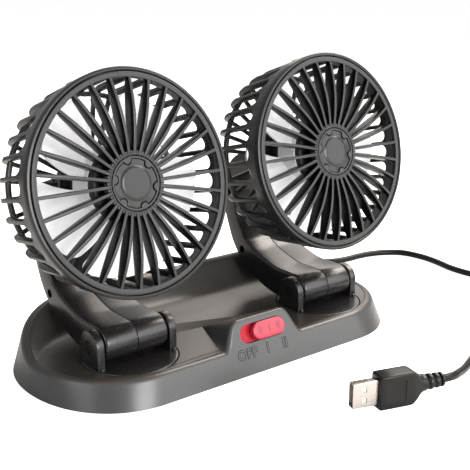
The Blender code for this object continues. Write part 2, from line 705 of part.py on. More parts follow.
def switch():
    """Slide switch: red slider and liner in the console, switch body and board behind."""
    frame = wall_frame()
    liner_front = -WALL - GAP
    liner_back = liner_front - LINER_THICKNESS
    travel = SLOT_LENGTH - SLIDER_LENGTH - GAP * 2
    rest = travel / 2
    grip = slab(stadium(SLIDER_LENGTH, SLOT_HEIGHT - GAP * 2), liner_front + GAP, SLIDER_PROUD)
    stem_end = liner_back - STEM_REACH
    stem = block((-STEM_LENGTH / 2, -STEM_HEIGHT / 2, stem_end),
                 (STEM_LENGTH / 2, STEM_HEIGHT / 2, liner_front + GAP * 2))
    slider = part("switch_slider", moved(fuse(grip, stem), turn=frame), "switch_red")
    slider.location = (rest, 0, 0)
    liner = slab(stadium(SLOT_LENGTH + LINER_MARGIN, SLOT_HEIGHT + LINER_MARGIN), liner_back, liner_front)
    way = travel / 2 + STEM_LENGTH / 2 + GAP
    slit = block((-way, -STEM_HEIGHT / 2 - GAP, liner_back - OVERRUN),
                 (way, STEM_HEIGHT / 2 + GAP, liner_front + OVERRUN))
    part("switch_liner", moved(cut(liner, slit), turn=frame), "switch_red")
    body_front = liner_back - GAP
    body_back = body_front - SWITCH_BODY_DEPTH
    body = block((-SWITCH_BODY_LENGTH / 2, -SWITCH_BODY_HEIGHT / 2, body_back),
                 (SWITCH_BODY_LENGTH / 2, SWITCH_BODY_HEIGHT / 2, body_front))
    track = block((-way, -STEM_HEIGHT / 2 - GAP, stem_end - GAP), (way, STEM_HEIGHT / 2 + GAP, body_front + OVERRUN))
    part("switch_body", moved(cut(body, track), turn=frame), "steel")
    board_front = body_back - GAP
    board = block((-BOARD_LENGTH / 2, -BOARD_HEIGHT / 2, board_front - BOARD_THICKNESS),
                  (BOARD_LENGTH / 2, BOARD_HEIGHT / 2, board_front))
    part("switch_board", moved(board, turn=frame), "circuit_board")


def turntable(prefix, swivel):
    """Swivelling disc with two ears for the arm, its washer and its screw."""
    chamfer = GAP
    boss_bottom = CUP_BOTTOM_Z + GAP
    disc = turned(((0, DISC_TOP_Z), (DISC_RADIUS - chamfer, DISC_TOP_Z), (DISC_RADIUS, DISC_TOP_Z - chamfer),
                   (DISC_RADIUS, DISC_BOTTOM_Z), (SWIVEL_BOSS_RADIUS, DISC_BOTTOM_Z),
                   (SWIVEL_BOSS_RADIUS, boss_bottom), (0, boss_bottom)), 36)
    sunk = DISC_TOP_Z - DISC_THICKNESS / 2
    arch = arc((0, HINGE_Z), EAR_RADIUS, 0, math.pi, 8)
    ear = sideways([(EAR_RADIUS, sunk)] + arch + [(-EAR_RADIUS, sunk)], 0, EAR_THICKNESS)
    disc = fuse(disc, together([moved(ear, (EAR_INSIDE, 0, 0)), moved(ear, (-EAR_OUTSIDE, 0, 0))]))
    reach = EAR_OUTSIDE + OVERRUN
    bolt_hole = rod_along_x(BOLT_RADIUS + GAP, -reach, reach, 0, HINGE_Z)
    nut_seat = rod_along_x(NUT_RADIUS + GAP, -reach, -EAR_OUTSIDE + NUT_THICKNESS + GAP, 0, HINGE_Z, 6)
    head_seat = rod_along_x(BOLT_HEAD_RADIUS + GAP, EAR_OUTSIDE - NUT_THICKNESS - GAP, reach, 0, HINGE_Z)
    screw_bore = cylinder(BASE_SCREW_RADIUS + GAP, boss_bottom - OVERRUN, DISC_TOP_Z - GAP * 2, 12)
    disc = cut(disc, bolt_hole, nut_seat, head_seat, screw_bore)
    part(prefix + "_turntable", disc, "graphite_abs", swivel)
    washer_top = CUP_BOTTOM_Z - GAP
    washer_low = washer_top - WASHER_THICKNESS
    bore = BASE_SCREW_RADIUS + GAP
    washer = turned(((bore, washer_top), (WASHER_RADIUS, washer_top), (WASHER_RADIUS, washer_low),
                     (bore, washer_low)), 16, closed=True)
    part(prefix + "_swivel_washer", washer, "steel", swivel)
    head_top = washer_low - GAP
    head_low = head_top - BASE_SCREW_HEAD_HEIGHT
    tip = DISC_TOP_Z - OVERRUN
    screw = turned(((0, tip), (BASE_SCREW_RADIUS, tip), (BASE_SCREW_RADIUS, head_top),
                    (BASE_SCREW_HEAD_RADIUS, head_top), (BASE_SCREW_HEAD_RADIUS, head_low), (0, head_low)), 10)
    part(prefix + "_swivel_screw", screw, "steel", swivel)


def hinge_bolt_and_nut(prefix, swivel):
    """Bolt through both ears and the arm's barrel, with its nut in the left ear."""
    head_inner = EAR_OUTSIDE - NUT_THICKNESS
    nut_outer = -EAR_OUTSIDE + GAP
    shank = rod_along_x(BOLT_RADIUS, nut_outer, head_inner + GAP, 0, HINGE_Z, 12)
    head = rod_along_x(BOLT_HEAD_RADIUS, head_inner, EAR_OUTSIDE - GAP, 0, HINGE_Z, 16)
    part(prefix + "_hinge_bolt", fuse(shank, head), "steel", swivel)
    nut = cylinder(NUT_RADIUS, nut_outer, nut_outer + NUT_THICKNESS - GAP, 6)
    thread = cylinder(BOLT_RADIUS + GAP, nut_outer - OVERRUN, nut_outer + NUT_THICKNESS + OVERRUN, 12)
    part(prefix + "_hinge_nut", moved(cut(nut, thread), (0, 0, HINGE_Z), ALONG_X), "steel", swivel)


def arm_end():
    """Middle of the arm's end face, behind the motor cover, from the hinge."""
    return HEAD_OFFSET + AXIS_BACK * (COVER_BACK + GAP)


def arm_points(shares):
    """An arm edge as (y, z) places from the hinge."""
    rise = arm_end().z
    return [Vector((y * ARM_DEPTH, z * rise)) for y, z in shares]


def arm_outline():
    """Side outline of the arm: lower edge, end face, upper edge and hinge barrel."""
    end = arm_end()
    half = AXIS_UP * ARM_NECK_THICKNESS / 2
    lower = arm_points(ARM_OUTER_SHARES)[1:]
    upper = arm_points(ARM_INNER_SHARES)[1:]
    barrel = arc((0, 0), BARREL_RADIUS, math.pi / 2, math.pi * 1.5, 8)
    return ([tuple(point) for point in lower] + [(end + half).yz, (end - half).yz]
            + [tuple(point) for point in reversed(upper)] + barrel)


def arm_hollow_outline():
    """The space inside the arm, one wall in from its lower and upper edges."""
    lower = arm_points(ARM_OUTER_SHARES)[slice(*ARM_HOLLOW_STEPS)]
    upper = arm_points(ARM_INNER_SHARES)[slice(*ARM_HOLLOW_STEPS)]
    outer = []
    inner = []
    for low, high in zip(lower, upper):
        across = (high - low).normalized() * WALL
        outer.append(tuple(low + across))
        inner.append(tuple(high - across))
    return outer + inner[::-1]


def screw_place(name):
    """Where an arm screw crosses the arm, as (y, z) from the hinge."""
    y, z = ARM_SCREW_SHARES[name]
    return y * ARM_DEPTH, z * arm_end().z


def neck_solid(clearance, start):
    """The motor cover's neck and flange in the head's frame, grown by a clearance."""
    flange = COVER_BACK + NECK_LENGTH
    tip = flange + NECK_FLANGE + clearance
    return turned(((0, tip), (NECK_FLANGE_RADIUS + clearance, tip),
                   (NECK_FLANGE_RADIUS + clearance, flange - clearance),
                   (NECK_RADIUS + clearance, flange - clearance), (NECK_RADIUS + clearance, start), (0, start)), 12)


def arm_halves(prefix, hinge):
    """The arm's two half shells, joined by two screws from the left."""
    wall_in = ARM_HALF_WIDTH - WALL
    head_turn = Matrix.Translation(HEAD_OFFSET) @ head_rotation()
    neck = moved(neck_solid(GAP, COVER_BACK - OVERRUN), turn=head_turn)
    bolt = rod_along_x(BOLT_RADIUS + GAP, -EAR_INSIDE, EAR_INSIDE, 0, 0)
    shank = ARM_SCREW_RADIUS + GAP
    halves = {"left": -1, "right": 1}
    for name, side in halves.items():
        ends = sorted((side * SEAM, side * (ARM_HALF_WIDTH - GAP)))
        shell = sideways(arm_outline(), *ends)
        space = sideways(arm_hollow_outline(), *sorted((side * (SEAM - OVERRUN), side * wall_in)))
        bosses = [rod_along_x(ARM_RECESS_RADIUS + WALL, *sorted((side * SEAM, side * (wall_in + GAP))),
                              *screw_place(screw), 12) for screw in ARM_SCREW_SHARES]
        space = cut(space, together(bosses))
        shell = cut(shell, space)
        holes = [rod_along_x(shank, -ARM_HALF_WIDTH, ARM_SCREW_REACH + GAP, *screw_place(screw), 12)
                 for screw in ARM_SCREW_SHARES]
        recesses = [rod_along_x(ARM_RECESS_RADIUS, -ARM_HALF_WIDTH - OVERRUN, -ARM_RECESS_FLOOR,
                                *screw_place(screw), 16) for screw in ARM_SCREW_SHARES]
        tools = [bolt, neck, together(holes)]
        if side < 0:
            tools.append(together(recesses))
        part(f"{prefix}_arm_shell_{name}", cut(shell, *tools), "graphite_abs", hinge)


def arm_screws(prefix, hinge):
    """Two self-tapping screws that close the arm."""
    for name in ARM_SCREW_SHARES:
        y, z = screw_place(name)
        head_end = -ARM_RECESS_FLOOR - GAP
        head = rod_along_x(ARM_SCREW_HEAD_RADIUS, head_end - ARM_SCREW_HEAD_HEIGHT, head_end, y, z, 12)
        shank = rod_along_x(ARM_SCREW_RADIUS, head_end - GAP, ARM_SCREW_REACH, y, z, 8)
        part(f"{prefix}_arm_screw_{name}", fuse(head, shank), "steel", hinge)


def head_rotation():
    """Turns a head's own frame so that its depth runs back and down."""
    return Matrix.Rotation(-(math.pi / 2 + HEAD_LEAN), 4, "X")


def around(mesh, count, start=0.0):
    """Copies of a mesh spread evenly round the head's axis."""
    return together([moved(mesh, turn=Matrix.Rotation(start + math.tau * i / count, 4, "Z"))
                     for i in range(count)])


def radial_plate(outline, thickness):
    """A flat (radius, depth) outline as a plate that stands on a radius."""
    plate = slab(outline, -thickness / 2, thickness / 2)
    upright = Matrix(((1, 0, 0, 0), (0, 0, 1, 0), (0, 1, 0, 0), (0, 0, 0, 1)))
    return moved(plate, turn=upright)


def rear_cage():
    """Cage of one head: front band, side fins that run in as rear bars, ring and motor tube."""
    lip = CAGE_LIP_RADIUS
    seat = GRILLE_DEPTH + GAP
    round_off = GAP * 2
    band = turned(((lip, 0), (HEAD_RADIUS - round_off, 0), (HEAD_RADIUS, round_off),
                   (CAGE_BAND_BACK_RADIUS, CAGE_BAND_DEPTH), (CAGE_BAND_INNER_RADIUS, CAGE_BAND_DEPTH),
                   (CAGE_BAND_INNER_RADIUS, seat), (lip, seat)), CAGE_FINS, closed=True)
    bar_front = CAGE_DEPTH - REAR_BAR_DEPTH
    outer = CAGE_BAND_BACK_RADIUS - GAP
    overlap = CAGE_BAND_DEPTH - OVERRUN
    shoulder = CAGE_DEPTH - FIN_DEPTH * 2
    fin = radial_plate(((outer, overlap), (FIN_BACK_RADIUS + FIN_DEPTH / 2, shoulder),
                        (FIN_BACK_RADIUS - FIN_DEPTH * 0.3, CAGE_DEPTH), (CAGE_HUB_RADIUS - OVERRUN, CAGE_DEPTH),
                        (CAGE_HUB_RADIUS - OVERRUN, bar_front), (FIN_BACK_RADIUS - FIN_DEPTH * 1.2, bar_front),
                        (outer - FIN_DEPTH, overlap)), FIN_THICKNESS)
    ring_front = CAGE_DEPTH - REAR_BAR_DEPTH - REAR_RING_WIDTH * 2
    ring_inner = REAR_RING_RADIUS - REAR_RING_WIDTH
    ring = turned(((ring_inner, ring_front), (REAR_RING_RADIUS, ring_front),
                   (REAR_RING_RADIUS, ring_front + REAR_RING_WIDTH), (ring_inner, ring_front + REAR_RING_WIDTH)),
                  32, closed=True)
    tube_in = MOTOR_RADIUS + GAP
    tube_out = tube_in + WALL
    floor = CAGE_DEPTH - WALL * 2
    hub_front = CAGE_DEPTH - WALL * 1.5
    back = CAGE_DEPTH - GAP
    tube = turned(((tube_in, MOTOR_TUBE_FRONT), (tube_out, MOTOR_TUBE_FRONT), (tube_out, hub_front),
                   (CAGE_HUB_RADIUS, hub_front), (CAGE_HUB_RADIUS, back), (WIRE_HOLE_RADIUS, back),
                   (WIRE_HOLE_RADIUS, floor), (tube_in, floor)), 16, closed=True)
    fins = around(fin, CAGE_FINS)
    return fuse(band, fins, ring, tube)


def cap_outline(radius, notch):
    """Round cap outline with evenly spaced half-round notches in its edge."""
    points = []
    step = math.tau / CAP_NOTCHES
    half = 2 * math.asin(notch / (2 * radius))
    for number in range(CAP_NOTCHES):
        centre_angle = number * step + step / 4
        centre = (radius * math.cos(centre_angle), radius * math.sin(centre_angle))
        inward = centre_angle + math.pi
        opening = math.pi / 2 - half / 2
        points += arc(centre, notch, inward + opening, inward - opening, 4)[1:-1]
        points += arc((0, 0), radius, centre_angle + half, centre_angle + step - half, 5)
    return points


def front_grille():
    """Front grille: rim, thirty deep spokes that bulge forward, and a hub with the cap's recess."""
    chamfer = GAP * 2
    rim = turned(((GRILLE_INNER_RADIUS, chamfer), (GRILLE_INNER_RADIUS + chamfer, 0),
                  (GRILLE_RADIUS, 0), (GRILLE_RADIUS, GRILLE_DEPTH), (GRILLE_INNER_RADIUS, GRILLE_DEPTH)),
                 SPOKES, closed=True)
    start = GRILLE_HUB_RADIUS - OVERRUN
    end = GRILLE_INNER_RADIUS + OVERRUN
    front = []
    for share in (0, 0.33, 0.67, 1):
        level = GRILLE_HUB_FRONT * (1 - share) + GAP
        bulge = SPOKE_BULGE * math.sin(math.pi * share)
        front.append((start + (end - start) * share, level - bulge))
    back = [(end, GRILLE_DEPTH - GAP), (start, GRILLE_HUB_BACK - GAP)]
    spoke = radial_plate(front + back, SPOKE_THICKNESS)
    hub = cylinder(GRILLE_HUB_RADIUS, GRILLE_HUB_FRONT, GRILLE_HUB_BACK, SPOKES)
    recess_floor = GRILLE_HUB_FRONT + CAP_RECESS + CAP_THICKNESS + GAP
    recess = slab(cap_outline(CAP_RADIUS + GAP, CAP_NOTCH_RADIUS - GAP), GRILLE_HUB_FRONT - OVERRUN, recess_floor)
    return cut(fuse(rim, around(spoke, SPOKES), hub), recess)


def hub_cap():
    """Plain badge disc in the middle of the grille."""
    front = GRILLE_HUB_FRONT + CAP_RECESS
    return slab(cap_outline(CAP_RADIUS, CAP_NOTCH_RADIUS), front, front + CAP_THICKNESS)


def blade():
    """One twisted blade between the sleeve and the tip."""
    shape = bmesh.new()
    rows = []
    for along in (0, 0.25, 0.5, 0.75, 1):
        radius = ROTOR_HUB_RADIUS + GAP + SLEEVE_WALL / 2 + (ROTOR_RADIUS - ROTOR_HUB_RADIUS - GAP - SLEEVE_WALL / 2) * along
        tuck = BLADE_THICKNESS / 2
        row = []
        for across in (0, 0.33, 0.67, 1):
            angle = BLADE_TURN * (across - 0.5) + BLADE_SWEEP * along
            depth = BLADE_FRONT + tuck + (BLADE_BACK - BLADE_FRONT - BLADE_THICKNESS) * across ** (1.2 - 0.2 * along)
            row.append(shape.verts.new((radius * math.cos(angle), radius * math.sin(angle), depth)))
        rows.append(row)
    for low, high in zip(rows, rows[1:]):
        for i in range(len(low) - 1):
            shape.faces.new((low[i], low[i + 1], high[i + 1], high[i]))
    obj = bpy.data.objects.new("blade", as_mesh(shape))
    HELPERS.objects.link(obj)
    wall = obj.modifiers.new("wall", "SOLIDIFY")
    wall.thickness = BLADE_THICKNESS
    wall.offset = 0
    return evaluated(obj)


def fan_blades():
    """Five pale blades on a thin sleeve."""
    inner = ROTOR_HUB_RADIUS + GAP
    outer = inner + SLEEVE_WALL
    sleeve = turned(((inner, BLADE_FRONT - OVERRUN), (outer, BLADE_FRONT - OVERRUN), (outer, BLADE_BACK + GAP),
                     (inner, BLADE_BACK + GAP)), 24, closed=True)
    return fuse(sleeve, around(blade(), BLADES, BLADE_START))


def rotor_hub():
    """Black hub cup that the blades' sleeve sits on, with a boss for the shaft."""
    wall_in = ROTOR_HUB_RADIUS - WALL
    web = ROTOR_FRONT + WALL
    boss = SHAFT_RADIUS * 3
    bore = SHAFT_RADIUS + GAP
    boss_back = MOTOR_FRONT - OVERRUN * 1.5
    profile = ((0, ROTOR_FRONT), (ROTOR_HUB_RADIUS - GAP * 4, ROTOR_FRONT), (ROTOR_HUB_RADIUS, ROTOR_FRONT + GAP * 4),
               (ROTOR_HUB_RADIUS, ROTOR_HUB_BACK), (wall_in, ROTOR_HUB_BACK), (wall_in, web), (boss, web),
               (boss, boss_back), (bore, boss_back), (bore, web), (0, web))
    return turned(profile, 20)


def motor():
    """Small DC motor with its shaft hole right through the front."""
    bore = SHAFT_RADIUS + GAP
    back = CAGE_DEPTH - WALL * 2 - GAP
    nose = MOTOR_FRONT - OVERRUN
    nose_radius = SHAFT_RADIUS * 2.5
    return turned(((0, back), (MOTOR_RADIUS, back), (MOTOR_RADIUS, MOTOR_FRONT), (nose_radius, MOTOR_FRONT),
                   (nose_radius, nose), (bore, nose), (bore, SHAFT_END + GAP), (0, SHAFT_END + GAP)), 16)


def motor_cover():
    """Round cover behind the motor, with the neck that the arm's shells grip."""
    round_off = WALL * 0.6
    front = CAGE_DEPTH + GAP
    cover = turned(((0, COVER_BACK), (COVER_RADIUS - round_off, COVER_BACK), (COVER_RADIUS, COVER_BACK - round_off),
                    (COVER_RADIUS, front), (0, front)), 20)
    return fuse(cover, neck_solid(0, COVER_BACK - OVERRUN))


def heads(units):
    """The pieces of both heads, which share their meshes."""
    shaft = cylinder(SHAFT_RADIUS, ROTOR_FRONT + WALL + GAP, SHAFT_END, 12)
    shapes = (("rear_cage", rear_cage(), "graphite_abs"), ("front_grille", front_grille(), "graphite_abs"),
              ("hub_cap", hub_cap(), "graphite_abs"), ("fan_blades", fan_blades(), "clear_blade"),
              ("rotor_hub", rotor_hub(), "black_abs"), ("motor_shaft", shaft, "steel"),
              ("motor", motor(), "steel"), ("motor_cover", motor_cover(), "black_abs"))
    for name, mesh, finish in shapes:
        for prefix, head in units.items():
            part(f"{prefix}_{name}", mesh, finish, head)


def smooth_route(points, spacing):
    """Evenly spaced places on one smooth curve, with the first and last stretch left straight."""
    route = [Vector(point) for point in points]
    fine = []
    for a, b, c, d in zip(route, route[1:], route[2:], route[3:]):
        for i in range(24):
            t = i / 24
            fine.append(0.5 * ((2 * b) + (c - a) * t + (2 * a - 5 * b + 4 * c - d) * t * t
                               + (3 * b - a - 3 * c + d) * t ** 3))
    fine.append(route[-2])
    lengths = [0.0]
    for before, after in zip(fine, fine[1:]):
        lengths.append(lengths[-1] + (after - before).length)
    count = round(lengths[-1] / spacing)
    placed = [route[0]]
    at = 0
    for i in range(count + 1):
        goal = lengths[-1] * i / count
        while at < len(lengths) - 2 and lengths[at + 1] < goal:
            at += 1
        span = lengths[at + 1] - lengths[at]
        place = fine[at].lerp(fine[at + 1], (goal - lengths[at]) / span)
        place.z = max(place.z, CORD_REST_Z)
        placed.append(place)
    return placed + [route[-1]]


def tube(name, points, resolution, finish):
    """A cord stretch as a bevelled curve with filled caps."""
    data = bpy.data.curves.new(name, "CURVE")
    data.dimensions = "3D"
    data.bevel_depth = CORD_RADIUS
    data.bevel_resolution = resolution
    data.use_fill_caps = True
    spline = data.splines.new("POLY")
    spline.points.add(len(points) - 1)
    for place, point in zip(spline.points, points):
        place.co = (*point, 1)
    data.materials.append(make_material(finish))
    PARTS.objects.link(bpy.data.objects.new(name, data))


def coil_points():
    """Two layers of loops: in along the table, up half a turn at the middle, and out on top."""
    count = round(COIL_TURNS * LOOP_POINTS)
    middle = COIL_TURNS / 2
    points = []
    for i in range(count + 1):
        turns = i / LOOP_POINTS
        radius = COIL_RADIUS - COIL_PITCH * (middle - abs(turns - middle))
        climb = min(max((turns - middle + 0.25) / 0.5, 0.0), 1.0)
        angle = -math.tau * turns
        height = CORD_REST_Z + COIL_PITCH * climb
        points.append(COIL_CENTRE + Vector((radius * math.cos(angle), radius * math.sin(angle), height)))
    return points


def least_gap(points):
    """Least free gap between the turns of a wound tube."""
    least = math.inf
    apart = LOOP_POINTS // 2
    for i, point in enumerate(points):
        for other in range(i + apart, len(points) - 1):
            start, end = points[other], points[other + 1]
            along = end - start
            share = min(max((point - start).dot(along) / along.length_squared, 0.0), 1.0)
            least = min(least, (point - start - along * share).length)
    return least - CORD_RADIUS * 2


def lead():
    """Gland, cord to the coil, coil, cord to the plug, and the plug."""
    frame = gland_frame()
    flange_radius = GLAND_RADIUS + WALL / 2
    inner_end = -GLAND_FLANGE - WALL / 2
    gland = turned(((0, GLAND_NOSE), (CORD_RADIUS + GAP * 2, GLAND_NOSE), (GLAND_RADIUS, GLAND_STAND),
                    (GLAND_NECK_RADIUS, GLAND_STAND), (GLAND_NECK_RADIUS, -GLAND_FLANGE),
                    (flange_radius, -GLAND_FLANGE), (flange_radius, inner_end), (0, inner_end)), 12)
    part("cord_gland", moved(gland, turn=frame), "cord_pvc")
    coil = coil_points()
    print(f"cord coil: least gap between turns {least_gap(coil) * 1000:.2f} mm")
    first = coil[0] - coil[1]
    last = coil[-1] - coil[-2]
    straight = CORD_RADIUS * 2
    coil_start = coil[0] + first.normalized() * straight
    coil_stop = coil[-1] + last.normalized() * straight
    tube("cord_coil", [coil_start] + coil + [coil_stop], 1, "cord_pvc")
    outward = frame.to_3x3() @ Vector((0, 0, 1))
    start = frame @ Vector((0, 0, GLAND_NOSE + GAP))
    into = coil_start + first.normalized() * GAP
    along = [BACK_CORNER + Vector(place) for place in LEAD_ROUTE]
    along += [FRONT_CORNER + Vector(place) for place in SIDE_ROUTE]
    route = [start, start + outward * straight, *along, into + first.normalized() * straight, into]
    near = smooth_route(route, CORD_RADIUS * CORD_STEP_RADII)
    tube("cord_to_coil", near, 2, "cord_pvc")
    out_of = coil_stop + last.normalized() * GAP
    relief = plug_frame() @ Vector((0, 0, -GRIP_LENGTH - GRIP_TAPER - RELIEF_LENGTH - GAP))
    back = plug_frame().to_3x3() @ Vector((0, 0, -straight))
    along = [FRONT_CORNER + Vector(place) for place in TAIL_ROUTE]
    route = [out_of, out_of + last.normalized() * straight, *along, relief + back, relief]
    far = smooth_route(route, CORD_RADIUS * CORD_STEP_RADII)
    tube("cord_to_plug", far, 2, "cord_pvc")
    total = sum((b - a).length for points in (near, [coil_start] + coil + [coil_stop], far)
                for a, b in zip(points, points[1:]))
    print(f"cord: {total:.3f} m from the gland to the plug")


def plug_frame():
    """Matrix of the plug's frame: z towards the open end of the shell, y across the narrow side."""
    towards = Vector((-math.cos(PLUG_TURN), -math.sin(PLUG_TURN), 0))
    up = Vector((0, 0, 1))
    side = towards.cross(up)
    turn = Matrix((up, side, towards)).transposed().to_4x4()
    joint = PLUG_TIP - towards * SHELL_LENGTH
    return Matrix.Translation(joint) @ turn


def rounded_box(width, height, corner, steps=3):
    """Rounded rectangle outline, width along x."""
    points = []
    for number, (sx, sy) in enumerate(((1, 1), (-1, 1), (-1, -1), (1, -1))):
        centre = (sx * (width / 2 - corner), sy * (height / 2 - corner))
        points += arc(centre, corner, number * math.pi / 2, (number + 1) * math.pi / 2, steps)
    return points


def loft(outlines):
    """A closed solid through outlines of as many points each, given as (outline, height)."""
    shape = bmesh.new()
    rings = [[shape.verts.new((x, y, height)) for x, y in outline] for outline, height in outlines]
    for low, high in zip(rings, rings[1:]):
        for i in range(len(low)):
            j = (i + 1) % len(low)
            shape.faces.new((low[i], low[j], high[j], high[i]))
    shape.faces.new(rings[0][::-1])
    shape.faces.new(rings[-1])
    return as_mesh(shape)


def plug():
    """USB plug: moulded grip with a tapered relief, metal shell and tongue."""
    frame = plug_frame()
    corner = GRIP_HEIGHT * 0.16
    full = rounded_box(GRIP_WIDTH, GRIP_HEIGHT, corner)
    neck = rounded_box(RELIEF_RADIUS * 2, RELIEF_RADIUS * 2, RELIEF_RADIUS * 0.98)
    tip = rounded_box(RELIEF_END_RADIUS * 2, RELIEF_END_RADIUS * 2, RELIEF_END_RADIUS * 0.98)
    taper = -GRIP_LENGTH - GRIP_TAPER
    grip = loft(((full, -GAP), (full, -GRIP_LENGTH), (neck, taper), (tip, taper - RELIEF_LENGTH)))
    part("plug_grip", moved(grip, turn=frame), "cord_pvc")
    outer = rounded_box(SHELL_WIDTH, SHELL_HEIGHT, SHELL_WALL * 1.5, 2)
    inside = (SHELL_WIDTH - SHELL_WALL * 2, SHELL_HEIGHT - SHELL_WALL * 2)
    inner = rounded_box(*inside, SHELL_WALL, 2)
    tongue_low = -SHELL_HEIGHT / 2 + SHELL_WALL + GAP
    window = SHELL_WIDTH * 0.1
    shell = cut(slab(outer, 0, SHELL_LENGTH), slab(inner, SHELL_WALL, SHELL_LENGTH + OVERRUN))
    windows = [block((side * SHELL_WIDTH * 0.22 - window, -SHELL_HEIGHT, SHELL_LENGTH * 0.44),
                     (side * SHELL_WIDTH * 0.22 + window, SHELL_HEIGHT, SHELL_LENGTH * 0.62)) for side in (-1, 1)]
    part("plug_shell", moved(cut(shell, together(windows)), turn=frame), "plug_nickel")
    tongue = block((-TONGUE_WIDTH / 2, tongue_low, SHELL_WALL + GAP),
                   (TONGUE_WIDTH / 2, tongue_low + TONGUE_THICKNESS, SHELL_LENGTH - OVERRUN))
    part("plug_tongue", moved(tongue, turn=frame), "white_tongue")


def build():
    """Make every piece of the fan."""
    base_shell()
    base_plate()
    feet_and_base_screws()
    switch()
    units = {}
    for prefix, side in (("left", -1), ("right", 1)):
        swivel = axis_empty(prefix + "_swivel_axis", (side * UNIT_X, SWIVEL_Y, 0))
        hinge = axis_empty(prefix + "_hinge_axis", (0, 0, HINGE_Z), swivel)
        units[prefix] = axis_empty(prefix + "_head_axis", HEAD_OFFSET, hinge, -(math.pi / 2 + HEAD_LEAN))
        turntable(prefix, swivel)
        hinge_bolt_and_nut(prefix, swivel)
        arm_halves(prefix, hinge)
        arm_screws(prefix, hinge)
    heads(units)
    lead()
    plug()
    for name in ("target", "helper", "profile", "shape", "group"):
        for mesh in [item for item in bpy.data.meshes if item.name.startswith(name) and not item.users]:
            bpy.data.meshes.remove(mesh)


build()
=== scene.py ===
# %% [markdown]
# # Dual head desk and dashboard fan
#
# Two caged fan heads stand on bent arms over a tray-shaped base with a red slide
# switch. This lesson dresses a CAD model of the fan: it loads the CAD as a fixed
# frame, builds finer pieces over it and gives each one a finish that belongs to
# what it is made of.
#
# Everything is in metres, with +X to the right along the base, +Y to the back and
# +Z up. Sizes are written in millimetres times MM, as a maker would read them off
# a caliper.

# %% Load the frame
import math

import bmesh
import bpy
from mathutils import Matrix, Vector


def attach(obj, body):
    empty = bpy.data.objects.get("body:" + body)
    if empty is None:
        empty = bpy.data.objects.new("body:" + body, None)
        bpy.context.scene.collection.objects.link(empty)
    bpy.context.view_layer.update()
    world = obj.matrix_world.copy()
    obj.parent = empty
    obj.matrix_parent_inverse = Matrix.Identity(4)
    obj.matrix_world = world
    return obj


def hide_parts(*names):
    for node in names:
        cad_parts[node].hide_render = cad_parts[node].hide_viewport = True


MM = 0.001
# Places nearer to each other than this are one place
TOUCHING = MM / 1000
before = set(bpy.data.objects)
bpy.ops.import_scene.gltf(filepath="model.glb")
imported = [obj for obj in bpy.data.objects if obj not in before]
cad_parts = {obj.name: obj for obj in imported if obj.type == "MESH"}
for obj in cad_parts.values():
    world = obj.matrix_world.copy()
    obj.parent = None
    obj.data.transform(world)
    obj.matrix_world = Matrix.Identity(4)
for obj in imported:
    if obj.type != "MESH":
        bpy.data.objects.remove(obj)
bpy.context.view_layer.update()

# %% [markdown]
# ## Where things are
#
# Each unit repeats: a turntable that swivels, an arm that tilts on it and a head
# that leans back. A matrix per side carries a shape, made once in the unit's own
# frame, to its place on the fan. A head's own frame has its depth along Z, from the
# front ring towards the back, which makes turned parts easy.

# %% Places and frames
UNIT_X = 61.8 * MM
SWIVEL_Y = -19.5 * MM
HINGE_Z = 23.4 * MM
HEAD_LEAN = math.radians(12.3)
HEAD_OFFSET = Vector((0, -9.9, 76.2)) * MM
AXIS_BACK = Vector((0, math.cos(HEAD_LEAN), -math.sin(HEAD_LEAN)))
AXIS_UP = Vector((0, math.sin(HEAD_LEAN), math.cos(HEAD_LEAN)))
UP = Vector((0, 0, 1))
SIDES = {"left": -1, "right": 1}


def unit_frame(side, height=0.0):
    """Matrix of one unit's swivel axis, at a height above the table."""
    return Matrix.Translation((side * UNIT_X, SWIVEL_Y, height))


def head_frame(side):
    """Matrix of one head, whose depth runs back along Z from the face of the ring."""
    lean = Matrix.Rotation(-(math.pi / 2 + HEAD_LEAN), 4, "X")
    return unit_frame(side, HINGE_Z) @ Matrix.Translation(HEAD_OFFSET) @ lean


# %% [markdown]
# ## Camera
#
# The camera stands low in front of the left end and looks along the base, so the
# near head is larger than the far one. The lens is a short telephoto one, which
# keeps the rings from bulging. The camera is aimed by turning its own -Z along a
# direction, which is plainer than three angles and needs no target object.

# %% Camera
CAMERA_PLACE = Vector((-0.26873, -0.36102, 0.1865))
LOOKING = Vector((0.5973, 0.7532, -0.2757))
camera_data = bpy.data.cameras.new("camera")
camera_data.lens = 68.43
camera_data.sensor_width = 36
camera_data.shift_x = 0.0014
camera_data.shift_y = 0.0028
camera_data.clip_start = 0.01
camera = bpy.data.objects.new("camera", camera_data)
camera.location = CAMERA_PLACE
camera.rotation_euler = LOOKING.to_track_quat("-Z", "Y").to_euler()
bpy.context.scene.collection.objects.link(camera)
bpy.context.scene.camera = camera
print(f"camera: {camera_data.lens:.1f} mm lens, {CAMERA_PLACE.length:.3f} m from the base's middle")

# %% [markdown]
# ## Outlines and smooth lines
#
# Moulded plastic has no sharp edge anywhere: a tool's corners are always a little
# round, and that rounding is what catches the light. So every helper serves one
# idea: draw a clean line, round its corners, then turn it or push it out. Lines are
# worked out as places here, because a curve object would have to be made, sampled
# and deleted again for each of them.

# %% Outlines
def arc(centre, radius, start, end, steps):
    """Places on an arc, ends included."""
    turns = [start + (end - start) * step / steps for step in range(steps + 1)]
    return [Vector((centre[0] + radius * math.cos(turn), centre[1] + radius * math.sin(turn)))
            for turn in turns]


def polygon(radius, sides):
    """A regular outline about the origin, round when it has many sides."""
    return arc((0, 0), radius, 0, math.tau * (1 - 1 / sides), sides - 1)


def stadium(length, height, steps=16):
    """A slot's outline, with round ends."""
    radius = height / 2
    reach = length / 2 - radius
    return (arc((reach, 0), radius, -math.pi / 2, math.pi / 2, steps)
            + arc((-reach, 0), radius, math.pi / 2, math.pi * 1.5, steps))


